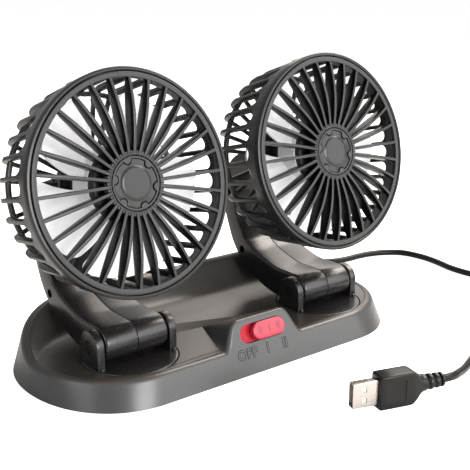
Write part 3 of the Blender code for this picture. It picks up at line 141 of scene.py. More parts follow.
def rounded_box(width, height, corner, steps=6):
    """A rounded rectangle's outline."""
    places = []
    for number, (side, level) in enumerate(((1, 1), (-1, 1), (-1, -1), (1, -1))):
        centre = (side * (width / 2 - corner), level * (height / 2 - corner))
        places += arc(centre, corner, number * math.pi / 2, (number + 1) * math.pi / 2, steps)
    return places


# %% Smooth lines
def in_mm(*places):
    """Places given in millimetres."""
    return [Vector(place) * MM for place in places]


def eased(start, corner, end, steps):
    """A smooth bend from one place to another, pulled towards a corner."""
    shares = [step / steps for step in range(steps + 1)]
    return [start * (1 - t) ** 2 + corner * 2 * t * (1 - t) + end * t ** 2 for t in shares]


def flowing(points, steps=6):
    """A smooth open line through a few places, which keeps both ends."""
    route = [Vector(point) for point in points]
    route = [route[0] * 2 - route[1]] + route + [route[-1] * 2 - route[-2]]
    line = []
    for a, b, c, d in zip(route, route[1:], route[2:], route[3:]):
        for step in range(steps):
            t = step / steps
            line.append((b * 2 + (c - a) * t + (a * 2 - b * 5 + c * 4 - d) * t ** 2
                         + (b * 3 - a - c * 3 + d) * t ** 3) / 2)
    return line + [route[-2]]


# %% [markdown]
# ## Base outline
#
# The base is a rounded box whose rim is level in front and sweeps up to the back.
# The rim's line decides everything else on it: the wall drops from it at a constant
# lean, and the tray dishes down from it to a flat floor. So the rim comes first, as
# a height at each depth, and the cord's exit on the end wall is found from it. A
# formula for it keeps wall, tray and exit in step when a size changes.

# %% Rim
BASE_END = 107.0 * MM
BASE_HALF_DEPTH = 51.5 * MM
RIM_FRONT_Z, RIM_BACK_Z, FLOOR_Z, SHELL_BOTTOM_Z = 14.0 * MM, 28.9 * MM, 13.6 * MM, 0.5 * MM
RIM_FRONT_Y, RIM_BACK_Y = -46.64 * MM, 44.2 * MM
RIM_RADIUS = (RIM_BACK_Y - RIM_FRONT_Y) / 2
RIM_CENTRE_Y = (RIM_BACK_Y + RIM_FRONT_Y) / 2
RIM_END_X = 104.0 * MM - RIM_RADIUS
CORNER_RADIUS = 44.0 * MM
CORNER_X = BASE_END - CORNER_RADIUS
CORNER_SHIFT = BASE_HALF_DEPTH - CORNER_RADIUS
WALL_LEAN = 0.36
WALL_TILT = math.atan(WALL_LEAN)
WALL = 2.0 * MM
CLIMB_EASE = 6.0 * MM


def rim_height(y):
    """Height of the rim: level at the front, then rising to the back."""
    def climb(run):
        return run * run / (run + CLIMB_EASE)
    share = climb(max(0.0, y - RIM_CENTRE_Y)) / climb(RIM_RADIUS)
    return RIM_FRONT_Z + (RIM_BACK_Z - RIM_FRONT_Z) * share


def end_edge(angle):
    """Foot and edge of the wall at one turn round the base's right end."""
    cos, sin = math.cos(angle), math.sin(angle)
    ease = sin * (1.5 - 0.5 * sin * sin)
    foot = Vector((CORNER_X + CORNER_RADIUS * cos, CORNER_SHIFT * ease + CORNER_RADIUS * sin,
                   SHELL_BOTTOM_Z))
    y = RIM_CENTRE_Y + RIM_RADIUS * sin
    return foot, Vector((RIM_END_X + RIM_RADIUS * cos, y, rim_height(y)))


for name, y in (("front", RIM_FRONT_Y), ("back", RIM_BACK_Y)):
    print(f"rim: {rim_height(y) / MM:.1f} mm high at the {name}")


# %% [markdown]
# ## The lead
#
# The cord is soft PVC, 4 mm thick and about 1.2 m long. It leaves the back right
# corner, lies on the table in a lazy bend past the right end, goes into a neat
# two-layer coil outside the picture and comes back to the plug in front. It follows
# the CAD's own route to a fraction of a millimetre, so it lies where the CAD's
# solids lie. The route starts from both ends: the gland's nose and the plug's relief.

# %% Ends of the cord
BACK_CORNER = Vector((BASE_END, BASE_HALF_DEPTH, 0))
FRONT_CORNER = Vector((BASE_END, -BASE_HALF_DEPTH, 0))
CORD_RADIUS = 2.0 * MM
REST_Z = 2.08 * MM
GLAND_TURN = math.radians(50)
GLAND_WAY = Vector((math.cos(GLAND_TURN), math.sin(GLAND_TURN), 0))
GLAND_NOSE, GLAND_Z = 14.0 * MM, 7.5 * MM
PLUG_TURN = math.radians(-17)
PLUG_WAY = Vector((-math.cos(PLUG_TURN), -math.sin(PLUG_TURN), 0))
PLUG_TIP = Vector((-2.0, -108.5, 8.3)) * MM
SHELL_LENGTH = 12.4 * MM
GRIP_LENGTH, GRIP_TAPER, RELIEF_LENGTH = 16.5 * MM, 8.0 * MM, 10.5 * MM

foot, edge = end_edge(GLAND_TURN)
gland_place = foot.lerp(edge, (GLAND_Z - foot.z) / (edge.z - foot.z))
nose = gland_place + GLAND_WAY * GLAND_NOSE
relief_end = PLUG_TIP - PLUG_WAY * (SHELL_LENGTH + GRIP_LENGTH + GRIP_TAPER + RELIEF_LENGTH)

# %% Coil and route
def coil_places(centre, radius, pitch, turns, per_turn):
    """Two layers of loops: in along the table, up at the middle, and out on top."""
    places = []
    for number in range(round(turns * per_turn) + 1):
        done = number / per_turn
        reach = radius - pitch * (turns / 2 - abs(done - turns / 2))
        climb = min(max((done - turns / 2 + 0.25) / 0.5, 0.0), 1.0)
        angle = -math.tau * done
        places.append(centre + Vector((reach * math.cos(angle), reach * math.sin(angle),
                                       REST_Z + pitch * climb)))
    return places


def evened(points, spacing):
    """Places at an even spacing on one smooth line, none of them sunk in the table."""
    fine = flowing(points, 24)
    lengths = [0.0]
    for before, after in zip(fine, fine[1:]):
        lengths.append(lengths[-1] + (after - before).length)
    count = round(lengths[-1] / spacing)
    placed = []
    at = 0
    for number in range(count + 1):
        goal = lengths[-1] * number / count
        while at < len(lengths) - 2 and lengths[at + 1] < goal:
            at += 1
        step = max(lengths[at + 1] - lengths[at], TOUCHING)
        place = fine[at].lerp(fine[at + 1], (goal - lengths[at]) / step)
        place.z = max(place.z, REST_Z)
        placed.append(place)
    return placed


# In millimetres: the first list from the base's back corner, the others from its front one
LEAD = ((-1.0, 6.0, 6.0), (7.0, 10.1, 3.5), (17.0, 10.1, 2.1), (28.0, 6.0, 2.05), (38.3, 1.1, 2.05),
        (48.3, -0.9, 2.05), (60.3, -1.1, 2.05), (71.2, -2.6, 2.05), (80.3, -6.0, 2.05),
        (87.3, -11.4, 2.05), (92.5, -18.4, 2.05), (93.5, -28.6, 2.05), (93.5, -39.7, 2.05),
        (90.6, -52.9, 2.05))
SIDE = ((88.6, 38.1, 2.05), (90.1, 29.2, 2.05), (89.5, 16.5, 2.05), (86.0, -3.5, 2.05),
        (82.0, -24.5, 2.05))
TAIL = ((33.0, -71.7, 6.4), (21.0, -70.0, 3.5), (11.0, -64.0, 2.05), (1.0, -56.5, 2.05),
        (-10.0, -53.5, 2.05), (-18.5, -55.8, 2.05), (-27.5, -59.7, 2.7), (-38.0, -64.5, 4.0),
        (-47.5, -68.3, 5.8), (-55.3, -70.9, 7.4))
COIL_CENTRE = FRONT_CORNER + Vector((51.7, -42.5, 0)) * MM
COIL_RADIUS, COIL_PITCH, COIL_TURNS = 29.0 * MM, 4.5 * MM, 6.25
SUNK, STRAIGHT, COIL_APPROACH = 0.3 * MM, 4.3 * MM, 8.3 * MM
coil = coil_places(COIL_CENTRE, COIL_RADIUS, COIL_PITCH, COIL_TURNS, 24)
into = (coil[0] - coil[1]).normalized()
out_of = (coil[-1] - coil[-2]).normalized()
lead = [nose - GLAND_WAY * SUNK, nose + GLAND_WAY * STRAIGHT]
lead += [BACK_CORNER + place for place in in_mm(*LEAD)]
lead += [FRONT_CORNER + place for place in in_mm(*SIDE)]
lead += [coil[0] + into * COIL_APPROACH, coil[0]]
tail = [coil[-1], coil[-1] + out_of * COIL_APPROACH]
tail += [FRONT_CORNER + place for place in in_mm(*TAIL)]
tail += [relief_end - PLUG_WAY * STRAIGHT, relief_end + PLUG_WAY * SUNK]
route = evened(lead, 11.0 * MM)[:-1] + coil + evened(tail, 9.0 * MM)[1:]

# %% [markdown]
# The cord itself is one curve object with a round bevel, which stays smooth at any
# closeness and can be pulled about later by its points. A tube swept as a mesh would
# look the same and could not be laid again.

# %% The cord as one curve
cord_data = bpy.data.curves.new("cord", "CURVE")
cord_data.dimensions = "3D"
cord_data.bevel_depth = CORD_RADIUS
cord_data.bevel_resolution = 6
cord_data.resolution_u = 6
cord_data.use_fill_caps = True
strand = cord_data.splines.new("BEZIER")
strand.bezier_points.add(len(route) - 1)
for knot, place in zip(strand.bezier_points, route):
    knot.co = place
    knot.handle_left_type = knot.handle_right_type = "AUTO"
cord = bpy.data.objects.new("cord", cord_data)
bpy.context.scene.collection.objects.link(cord)
print(f"cord: {2 * cord_data.bevel_depth / MM:.1f} mm thick")

# %% [markdown]
# ## Solids
#
# A turned shape is a profile spun round Z, which keeps all its sizes in one list,
# where a cylinder would need a cut or an inset for each of them. A moulded plate is
# an outline pushed out, with both rims rounded. A shape that is neither gets a skin
# through rings of places. Repeated features are made once and copied in place.

# %% Solids from outlines
def spun(profile, segments=128, closed=False):
    """A turned shape from (radius, depth) places."""
    shape = bmesh.new()
    verts = [shape.verts.new((point[0], 0, point[1])) for point in profile]
    edges = [shape.edges.new(pair) for pair in zip(verts, verts[1:])]
    if closed:
        edges.append(shape.edges.new((verts[-1], verts[0])))
    bmesh.ops.spin(shape, geom=verts + edges, cent=(0, 0, 0), axis=(0, 0, 1), angle=math.tau,
                   steps=segments, use_merge=True)
    bmesh.ops.remove_doubles(shape, verts=shape.verts, dist=TOUCHING)
    bmesh.ops.recalc_face_normals(shape, faces=shape.faces)
    return shape


def slab(outline, low, high, low_edge=0.0, high_edge=None, segments=3):
    """A flat outline pushed out into a plate, with its rims rounded."""
    high_edge = low_edge if high_edge is None else high_edge
    shape = bmesh.new()
    face = shape.faces.new([shape.verts.new((point[0], point[1], low)) for point in outline])
    grown = bmesh.ops.extrude_face_region(shape, geom=[face])
    top = [item for item in grown["geom"] if isinstance(item, bmesh.types.BMVert)]
    bmesh.ops.translate(shape, verts=top, vec=(0, 0, high - low))
    bmesh.ops.recalc_face_normals(shape, faces=shape.faces)
    for level, width in ((low, low_edge), (high, high_edge)):
        if width:
            rim = [side for side in shape.edges
                   if all(abs(end.co.z - level) < TOUCHING for end in side.verts)]
            bmesh.ops.bevel(shape, geom=rim, offset=width, segments=segments, profile=0.5,
                            affect="EDGES", clamp_overlap=True, material=-1)
    return shape


def loft(rings, capped=True):
    """A skin through rings of as many places each."""
    shape = bmesh.new()
    rows = [[shape.verts.new(place) for place in ring] for ring in rings]
    for low, high in zip(rows, rows[1:]):
        for number in range(len(low)):
            beside = (number + 1) % len(low)
            shape.faces.new((low[number], low[beside], high[beside], high[number]))
    if capped:
        shape.faces.new(rows[0][::-1])
        shape.faces.new(rows[-1])
    bmesh.ops.recalc_face_normals(shape, faces=shape.faces)
    return shape


# %% Moving, joining and copying
def moved(shape, matrix):
    """Move a whole shape."""
    bmesh.ops.transform(shape, matrix=matrix, verts=shape.verts)
    return shape


def joined(*shapes):
    """Several shapes as one."""
    whole = bmesh.new()
    for shape in shapes:
        mesh = bpy.data.meshes.new("joined")
        shape.to_mesh(mesh)
        shape.free()
        whole.from_mesh(mesh)
        bpy.data.meshes.remove(mesh)
    return whole


def copies(shape, matrices):
    """Copies of a shape, one for each matrix, in place of the shape itself."""
    whole = joined(*[moved(shape.copy(), matrix) for matrix in matrices])
    shape.free()
    return whole


# %% [markdown]
# Where one shape is cut out of another, as a drill or a core pin would, the exact
# boolean solver does it on closed meshes. Only the result is kept, so no modifier
# is left that needs its cutter.

# %% Cutting
def carved(shape, *cutters):
    """A shape with closed cutters taken out of it."""
    holders = []
    for source in (shape, *cutters):
        mesh = bpy.data.meshes.new("held")
        source.to_mesh(mesh)
        source.free()
        holder = bpy.data.objects.new("held", mesh)
        bpy.context.scene.collection.objects.link(holder)
        holders.append(holder)
    for cutter in holders[1:]:
        step = holders[0].modifiers.new("cut", "BOOLEAN")
        step.operation = "DIFFERENCE"
        step.solver = "EXACT"
        step.object = cutter
    view = bpy.context.evaluated_depsgraph_get()
    mesh = bpy.data.meshes.new_from_object(holders[0].evaluated_get(view))
    result = bmesh.new()
    result.from_mesh(mesh)
    bpy.data.meshes.remove(mesh)
    for holder in holders:
        data = holder.data
        bpy.data.objects.remove(holder)
        bpy.data.meshes.remove(data)
    return result


# %% [markdown]
# ## Light
#
# Two big soft panels stand low, one in front on the right for the base's wall and
# one straight in front, which reaches the blades between the spokes. Both leave the
# tray darker. Two warm panels, above on the right and behind, draw the highlights along
# the satin black arms and on the tray's floor, and a weak one fills the left end.
# Area lights are used because their size sets how soft a highlight is.

# %% Light panels
WARM = (1.0, 0.92, 0.85)


def panel(name, place, aim, size, power, tint=(1.0, 1.0, 1.0)):
    """A square area light that faces a point."""
    data = bpy.data.lights.new(name, "AREA")
    data.size = size
    data.energy = power
    data.color = tint
    light = bpy.data.objects.new(name, data)
    light.location = place
    light.rotation_euler = (Vector(aim) - Vector(place)).to_track_quat("-Z", "Y").to_euler()
    bpy.context.scene.collection.objects.link(light)


panel("key_panel", (0.60, -0.80, 0.36), (0, 0, 0.06), 0.7, 6.5)
panel("front_panel", (-0.02, -1.05, 0.32), (0, 0, 0.08), 0.45, 12.5)
panel("left_panel", (-0.90, -0.20, 0.40), (0, 0, 0.06), 0.5, 2.6)
panel("top_panel", (0.62, -0.06, 0.78), (0, 0, 0.06), 0.55, 15.0, WARM)
panel("back_panel", (0.66, 0.52, 0.62), (0, 0, 0.04), 0.6, 3.6, WARM)
print(len(bpy.data.lights), "light panels")

# %% [markdown]
# ## World and floor
#
# The world is white to the camera and about half as bright in reflections, so that
# flanks seen at a slant stay dark, and only a dim fill to the surfaces themselves.
# The floor is a plain matt sheet with a glow that only the camera sees, which turns
# it white in the picture, adds no light to the fan and keeps the fan's shadow.

# %% Nodes
def add_node(tree, kind, sockets=None, links=None, **settings):
    """Add a node, set its properties and sockets, and link what feeds it."""
    made = tree.nodes.new(kind)
    for name, value in settings.items():
        setattr(made, name, value)
    for name, value in (sockets or {}).items():
        made.inputs[name].default_value = value
    for name, source in (links or {}).items():
        tree.links.new(source, made.inputs[name])
    return made


def linear(code, alpha=1.0):
    """An sRGB hex colour as the linear values that a renderer adds up."""
    def channel(value):
        return value / 12.92 if value <= 0.04045 else ((value + 0.055) / 1.055) ** 2.4
    red, green, blue = (int(code[start:start + 2], 16) / 255 for start in (1, 3, 5))
    return channel(red), channel(green), channel(blue), alpha


# %% World and floor
DIM_FILL, REFLECTED, FLOOR_GLOW = 0.11, 0.55, 0.90
world = bpy.data.worlds.new("studio")
bpy.context.scene.world = world
world.use_nodes = True
tree = world.node_tree
tree.nodes.clear()
rays = add_node(tree, "ShaderNodeLightPath")
direct = add_node(tree, "ShaderNodeMath", operation="MAXIMUM",
                  links={0: rays.outputs["Is Camera Ray"], 1: rays.outputs["Is Glossy Ray"]})
seen = add_node(tree, "ShaderNodeMath", operation="MAXIMUM",
                links={0: direct.outputs[0], 1: rays.outputs["Is Transmission Ray"]})
dim = add_node(tree, "ShaderNodeBackground", {"Color": (0.95, 0.97, 1.0, 1), "Strength": DIM_FILL})
softer = add_node(tree, "ShaderNodeMath", {1: REFLECTED - 1.0, 2: 1.0}, operation="MULTIPLY_ADD",
                  links={0: rays.outputs["Is Glossy Ray"]})
white = add_node(tree, "ShaderNodeBackground", {"Color": (1, 1, 1, 1)},
                 links={"Strength": softer.outputs[0]})
mixed = add_node(tree, "ShaderNodeMixShader",
                 links={0: seen.outputs[0], 1: dim.outputs[0], 2: white.outputs[0]})
add_node(tree, "ShaderNodeOutputWorld", links={0: mixed.outputs[0]})
bpy.context.scene.view_settings.view_transform = "Standard"

floor_shape = bmesh.new()
bmesh.ops.create_grid(floor_shape, x_segments=1, y_segments=1, size=15)
floor_mesh = bpy.data.meshes.new("floor")
floor_shape.to_mesh(floor_mesh)
floor_shape.free()
floor = bpy.data.objects.new("floor", floor_mesh)
bpy.context.scene.collection.objects.link(floor)
sweep = bpy.data.materials.new("white_sweep")
sweep.use_nodes = True
tree = sweep.node_tree
tree.nodes.clear()
paint = add_node(tree, "ShaderNodeBsdfDiffuse", {"Color": linear("#F2F2F2")})
glow = add_node(tree, "ShaderNodeEmission", {"Strength": FLOOR_GLOW})
rays = add_node(tree, "ShaderNodeLightPath")
nothing = add_node(tree, "ShaderNodeEmission", {"Strength": 0.0})
shown = add_node(tree, "ShaderNodeMixShader",
                 links={0: rays.outputs["Is Camera Ray"], 1: nothing.outputs[0], 2: glow.outputs[0]})
both = add_node(tree, "ShaderNodeAddShader", links={0: paint.outputs[0], 1: shown.outputs[0]})
add_node(tree, "ShaderNodeOutputMaterial", links={0: both.outputs[0]})
floor_mesh.materials.append(sweep)


# %% [markdown]
# ## Finishes
#
# Every finish starts from the real material and then gets the small unevenness of
# its making: the spark-eroded grain of a mould, a faint flow of tone in the
# plastic, the lines of wear on cold-formed metal. Sizes of grain are in millimetres
# and are read in object coordinates. A mould's real grain is about a tenth of a
# millimetre and would not show, so it is drawn several times as coarse.
#
# All of them share one recipe: a broad pattern mixes two tones, and a fine one
# moves the gloss and the relief a little. Noise is worked out at each point, so no
# finish needs an image or an unwrapped mesh.

# %% Recipe for a finish
def start_finish(name):
    """A new material, its node tree and its object coordinates."""
    print("finish:", name)
    made = bpy.data.materials.new(name)
    made.use_nodes = True
    tree = made.node_tree
    return made, tree, add_node(tree, "ShaderNodeTexCoord").outputs["Object"]


def feed_shader(tree, tones, broad, fine, gloss, relief):
    """Mix the tone by a broad pattern, and move gloss and relief by a fine one."""
    light, dark = tones
    roughness, change, low, high = gloss
    strength, depth = relief
    tone = add_node(tree, "ShaderNodeMix", {6: linear(dark), 7: linear(light)}, {0: broad},
                    data_type="RGBA")
    worn = add_node(tree, "ShaderNodeMapRange",
                    {"From Min": low, "From Max": high,
                     "To Min": roughness - change, "To Max": roughness + change}, {"Value": fine})
    bump = add_node(tree, "ShaderNodeBump", {"Strength": strength, "Distance": depth * MM},
                    {"Height": fine})
    shader = tree.nodes["Principled BSDF"]
    tree.links.new(tone.outputs[2], shader.inputs["Base Color"])
    tree.links.new(worn.outputs["Result"], shader.inputs["Roughness"])
    tree.links.new(bump.outputs["Normal"], shader.inputs["Normal"])
    return shader


# %% [markdown]
# Nearly all of the fan is injection-moulded: ABS for the housings, polypropylene for
# the blades, acetal for the switch and soft PVC for the lead. They differ in colour,
# in how well the mould was polished and in how much light the skin throws back.
#
# The base and the grille each get a second tone as painted light: painted shade on
# the base's upward faces and a painted highlight on the spokes' front faces. The tones
# are chosen by the direction that a face points in on the piece itself, so they stay
# where they are from every side.

# %% Moulded plastic
def moulded(name, light, dark, roughness, grain=0.45, depth=0.012, flow=16.0, ior=1.53, specular=0.5):
    """Injection-moulded plastic: a faint flow of tone, and the mould's fine grain as bump."""
    made, tree, place = start_finish(name)
    cloud = add_node(tree, "ShaderNodeTexNoise", {"Scale": 1 / (flow * MM), "Detail": 2.0},
                     {"Vector": place})
    pits = add_node(tree, "ShaderNodeTexNoise", {"Scale": 1 / (grain * MM), "Detail": 1.0},
                    {"Vector": place})
    shader = feed_shader(tree, (light, dark), cloud.outputs["Fac"], pits.outputs["Fac"],
                         (roughness, 0.03, 0.3, 0.7), (0.35, depth))
    shader.inputs["IOR"].default_value = ior
    shader.inputs["Specular IOR Level"].default_value = specular
    return made


def painted_light_by_facing(finish, way, low, high, code):
    """Painted light: another tone on faces that look one way, mixed in between two shares of facing it.
    """
    tree = finish.node_tree
    base = tree.nodes["Principled BSDF"].inputs["Base Color"]
    normal = add_node(tree, "ShaderNodeTexCoord").outputs["Normal"]
    facing = add_node(tree, "ShaderNodeVectorMath", {1: way}, {0: normal}, operation="DOT_PRODUCT")
    share = add_node(tree, "ShaderNodeMapRange", {"From Min": low, "From Max": high},
                     {"Value": facing.outputs["Value"]})
    tone = add_node(tree, "ShaderNodeMix", {7: linear(code)},
                    {0: share.outputs["Result"], 6: base.links[0].from_socket}, data_type="RGBA")
    tree.links.new(tone.outputs[2], base)


# ABS in graphite grey, from a spark-eroded mould: a soft broad sheen
graphite_abs = moulded("graphite_abs", "#3F3F3F", "#393939", 0.30, depth=0.004, specular=0.34)
# Painted shade: faces that look up, the tray's floor and dish and the rim's top, get a darker tone
painted_light_by_facing(graphite_abs, UP, 0.60, 0.90, "#322D29")
# The turntables and arms are nearly black, and polished smoother
satin_black = moulded("satin_black", "#1B1A1A", "#161515", 0.28, 0.50, 0.0003, specular=0.42)
# The cage and grille come from a smoother tool, and the cage from a darker batch
cage_abs = moulded("cage_abs", "#222323", "#1C1D1D", 0.28, 0.40, 0.002, specular=0.27)
# Painted light on the grille: a near-black tone as painted shade on the spokes' flanks, and a lighter
# tone as painted highlight on faces that look forward, the spokes' front edges
grille_abs_painted_light = moulded("grille_abs_painted_light", "#0A0B0B", "#070808", 0.28, 0.40, 0.002, specular=0.16)
painted_light_by_facing(grille_abs_painted_light, -AXIS_BACK, 0.45, 0.90, "#363737")
cap_abs = moulded("cap_abs", "#303030", "#2A2A2A", 0.22, 0.50, 0.001, specular=0.21)
black_abs = moulded("black_abs", "#181717", "#131313", 0.42, specular=0.35)
# Near black as painted shade in fine grooves: the markings' outlines and the gap round the cap
groove_shade_black = moulded("groove_shade_black", "#121212", "#0E0E0E", 0.60, 0.30, 0.010, specular=0.3)
# Cloudy polypropylene, which lets a little light through
cloudy_blade = moulded("cloudy_blade", "#FDFDFE", "#F9FAFB", 0.35, 3.00, 0.0005, ior=1.49)
cloudy_blade.node_tree.nodes["Principled BSDF"].inputs["Transmission Weight"].default_value = 0.15
# Dyed acetal, a slippery plastic for parts that slide
slider_red = moulded("slider_red", "#A4273C", "#9C2136", 0.22, 0.60, 0.003, specular=0.38)
liner_red = moulded("liner_red", "#A51225", "#960E1F", 0.28, 0.60, 0.003, specular=0.15)
# A darker red for the painted shade that outlines the slider's marks
mark_shade_red = moulded("mark_shade_red", "#6E1422", "#64111E", 0.40, 0.60, 0.006)
# Soft PVC: the plug, its relief and the cord's jacket
plug_pvc = moulded("plug_pvc", "#171717", "#121212", 0.32, 0.35, 0.008, specular=0.20)
cord_pvc = moulded("cord_pvc", "#131211", "#0E0D0C", 0.30, 0.50, 0.006, specular=0.12)
grey_pad = moulded("grey_pad", "#4A4A4A", "#424242", 0.85, 0.30, 0.030)
white_nylon = moulded("white_nylon", "#E4E4E2", "#DCDCDA", 0.50, 0.50, 0.006)
circuit_green = moulded("circuit_green", "#1E7042", "#196239", 0.45, 0.80, 0.010)

# %% [markdown]
# Screws, motor and plug are steel, plain or plated. A metal takes its colour from
# what it reflects, so it is metallic throughout and keeps the shader's own index of
# refraction. Its fine lines run the way it was drawn or rolled, so their pattern is
# stretched that way. They are drawn half a millimetre apart, coarser than real ones.

# %% Metal
def drawn_metal(name, light, dark, roughness, stretch):
    """Drawn or rolled metal, with fine lines of wear that run longer one way than across."""
    made, tree, place = start_finish(name)
    stretched = add_node(tree, "ShaderNodeMapping", {"Scale": stretch}, {"Vector": place})
    lines = add_node(tree, "ShaderNodeTexNoise", {"Scale": 1 / (0.5 * MM), "Detail": 3.0},
                     {"Vector": stretched.outputs["Vector"]})
    shader = feed_shader(tree, (light, dark), lines.outputs["Fac"], lines.outputs["Fac"],
                         (roughness, 0.08, 0.0, 1.0), (0.2, 0.004))
    shader.inputs["Metallic"].default_value = 1.0
    return made


zinc_steel = drawn_metal("zinc_steel", "#BDBBB6", "#A9A7A3", 0.30, (1, 1, 1))
blackened_steel = drawn_metal("blackened_steel", "#4B4947", "#3B3A38", 0.36, (1, 1, 1))
motor_steel = drawn_metal("motor_steel", "#ADACA9", "#9A9996", 0.36, (1, 0.2, 1))
plug_nickel = drawn_metal("plug_nickel", "#CEC7C1", "#BBB4AE", 0.26, (0.4, 0.4, 1))

# %% [markdown]
# ## Pieces
#
# A finished piece is an object at the origin, with its place in its mesh. It rides
# on the CAD body that it moves with, and the CAD nodes that it stands for are hidden.
# Faces that meet at a slight angle are shaded as one smooth surface, and the rest keep
# a crisp edge.

# %% Finish a piece
def finish_piece(name, shape, body, finish, stands_for=(), sharp=35):
    """Turn a shape into a piece of the fan."""
    mesh = bpy.data.meshes.new(name)
    shape.to_mesh(mesh)
    shape.free()
    mesh.materials.append(finish)
    mesh.shade_smooth()
    mesh.set_sharp_from_angle(angle=math.radians(sharp))
    made = bpy.data.objects.new(name, mesh)
    bpy.context.scene.collection.objects.link(made)
    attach(made, body)
    if stands_for:
        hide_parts(*stands_for)
    print(f"{name}: {len(mesh.polygons)} faces")
    return made


def on_both(name, shape, place, body, finish, stands_for=(), sharp=35):
    """One shape on both units, at each side's own place."""
    for prefix, side in SIDES.items():
        nodes = [f"{prefix}_{node}" for node in stands_for]
        placed = moved(shape.copy(), place(side))
        finish_piece(f"{prefix}_{name}", placed, f"{prefix}_{body}", finish, nodes, sharp)
    shape.free()


# %% [markdown]
# ## Base shell
#
# The real shell is one moulding: outside wall, rolled edge, tray and the console
# for the switch. It is drawn here as columns. Each column starts at the foot, runs
# up the wall, rolls over the edge and dips into the tray, and the columns stand
# close together wherever the outline turns. The console is made of such columns
# too, whose edge follows a bell-shaped outline. A box cut and bevelled into this
# shape would not give the tray's soft dish, whose width changes all the way round.

# %% Columns
SHOULDER = 2.8 * MM
LEDGE, LEDGE_GROWTH = 0.5 * MM, 0.17
DISH_RUN = 1.56
DISH = ((0.3, 0.52), (0.62, 0.14))
CONSOLE_HALF_FOOT, CONSOLE_TOP_Z = 25.0 * MM, 27.5 * MM
CONSOLE_BACK_Y, CONSOLE_BACK_HALF = -11.5 * MM, 13.0 * MM
CONSOLE_TOP_SHARE = 0.6
CONSOLE_OUTLINE = ((0, 1), (0.3, 1), (0.5, 1), (0.6, 0.985), (0.68, 0.92), (0.74, 0.80), (0.80, 0.60),
                   (0.86, 0.36), (0.915, 0.16), (0.96, 0.05), (1, 0))
WALL_NORMAL = Vector((0, -math.cos(WALL_TILT), math.sin(WALL_TILT)))
END_STEPS = 48


def front_wall_y(z):
    """Where the flat front wall lies at a height."""
    return -BASE_HALF_DEPTH + WALL_LEAN * (z - SHELL_BOTTOM_Z)


def front_foot(x):
    """The foot of the front wall, below a place on its edge."""
    return Vector((x * CORNER_X / RIM_END_X, -BASE_HALF_DEPTH, SHELL_BOTTOM_Z))


def rim_column(foot, edge, inward):
    """A column of the rim: its places, the way down its wall and the way across."""
    drop = edge.z - FLOOR_Z
    band = SHOULDER + LEDGE + LEDGE_GROWTH * drop
    run = DISH_RUN * drop
    low = Vector((0, 0, -drop))
    dish = [edge + inward * (band + run * out) + low * (1 - up) for out, up in DISH]
    places = [foot, edge, edge + inward * band, *dish, edge + inward * (band + run) + low]
    return places, (foot - edge).normalized(), inward.cross(UP)


def console_columns():
    """Columns along the console's outline, from the middle of the front to its foot."""
    height = CONSOLE_TOP_Z - RIM_FRONT_Z
    outline = [(place.x * CONSOLE_HALF_FOOT, RIM_FRONT_Z + place.y * height)
               for place in flowing(CONSOLE_OUTLINE, 4)]
    band = SHOULDER + LEDGE
    foot_floor = Vector((CONSOLE_HALF_FOOT, RIM_FRONT_Y + band + DISH_RUN * (RIM_FRONT_Z - FLOOR_Z),
                         FLOOR_Z))
    back_corner = Vector((CONSOLE_BACK_HALF, CONSOLE_BACK_Y, FLOOR_Z))
    top_half = CONSOLE_HALF_FOOT * CONSOLE_TOP_SHARE
    columns = []
    for number, (x, z) in enumerate(outline[:-1]):
        before = outline[max(number - 1, 0)]
        after = outline[number + 1]
        rise = (after[1] - before[1]) / math.cos(WALL_TILT)
        along = Vector((after[0] - before[0], rise)).normalized()
        down = Vector((along.y, -along.x * math.sin(WALL_TILT), -along.x * math.cos(WALL_TILT)))
        edge = Vector((x, front_wall_y(z), z))
        floor = foot_floor.lerp(back_corner, max((z - RIM_FRONT_Z) / height, 0.0))
        if x <= top_half:
            floor = Vector((CONSOLE_BACK_HALF * x / top_half, CONSOLE_BACK_Y, FLOOR_Z))
        start = edge + (floor - edge).normalized() * band
        middle = [start.lerp(floor, out) for out, _ in DISH]
        columns.append(([front_foot(x), edge, start, *middle, floor], down, WALL_NORMAL.cross(down)))
    return columns


def base_columns():
    """All columns of the right half, from the middle of the front to the middle of the back."""
    columns = console_columns()
    for share in (0, 0.2, 0.45, 0.72):
        x = CONSOLE_HALF_FOOT + (RIM_END_X - CONSOLE_HALF_FOOT) * share
        edge = Vector((x, RIM_FRONT_Y, RIM_FRONT_Z))
        columns.append(rim_column(front_foot(x), edge, Vector((0, 1, 0))))
    for step in range(END_STEPS + 1):
        angle = -math.pi / 2 + math.pi * step / END_STEPS
        inward = Vector((-math.cos(angle), -math.sin(angle), 0))
        columns.append(rim_column(*end_edge(angle), inward))
    for share in (0.75, 0.5, 0.25, 0):
        foot = Vector((CORNER_X * share, BASE_HALF_DEPTH, SHELL_BOTTOM_Z))
        edge = Vector((RIM_END_X * share, RIM_BACK_Y, RIM_BACK_Z))
        columns.append(rim_column(foot, edge, Vector((0, -1, 0))))
    return columns


# %% Outside and inside of the shell
def rolled(column):
    """A column's outside: up the wall, over the rolled edge and smoothly down the dish."""
    points, down, _ = column
    foot, edge, band = points[:3]
    below = edge + down * SHOULDER
    behind = edge + (band - edge).normalized() * SHOULDER
    return ([foot, foot.lerp(below, 0.5)] + eased(below, edge, behind, 6)[:-1]
            + flowing([behind, *points[2:]], 4))


def lining(column):
    """A column's inside, one wall in, from below its foot to under the floor."""
    points, _, across = column
    normals = [(after - before).cross(across).normalized() for before, after in zip(points, points[1:])]
    normals.append(-UP)
    up_wall = (points[1] - points[0]).normalized()
    start = points[0] + normals[0] * WALL
    inner = [start - up_wall * ((start.z - SHELL_BOTTOM_Z + MM) / up_wall.z)]
    for point, before, after in zip(points[1:], normals, normals[1:]):
        inner.append(point + (before + after) * (WALL / (1 + before.dot(after))))
    return inner


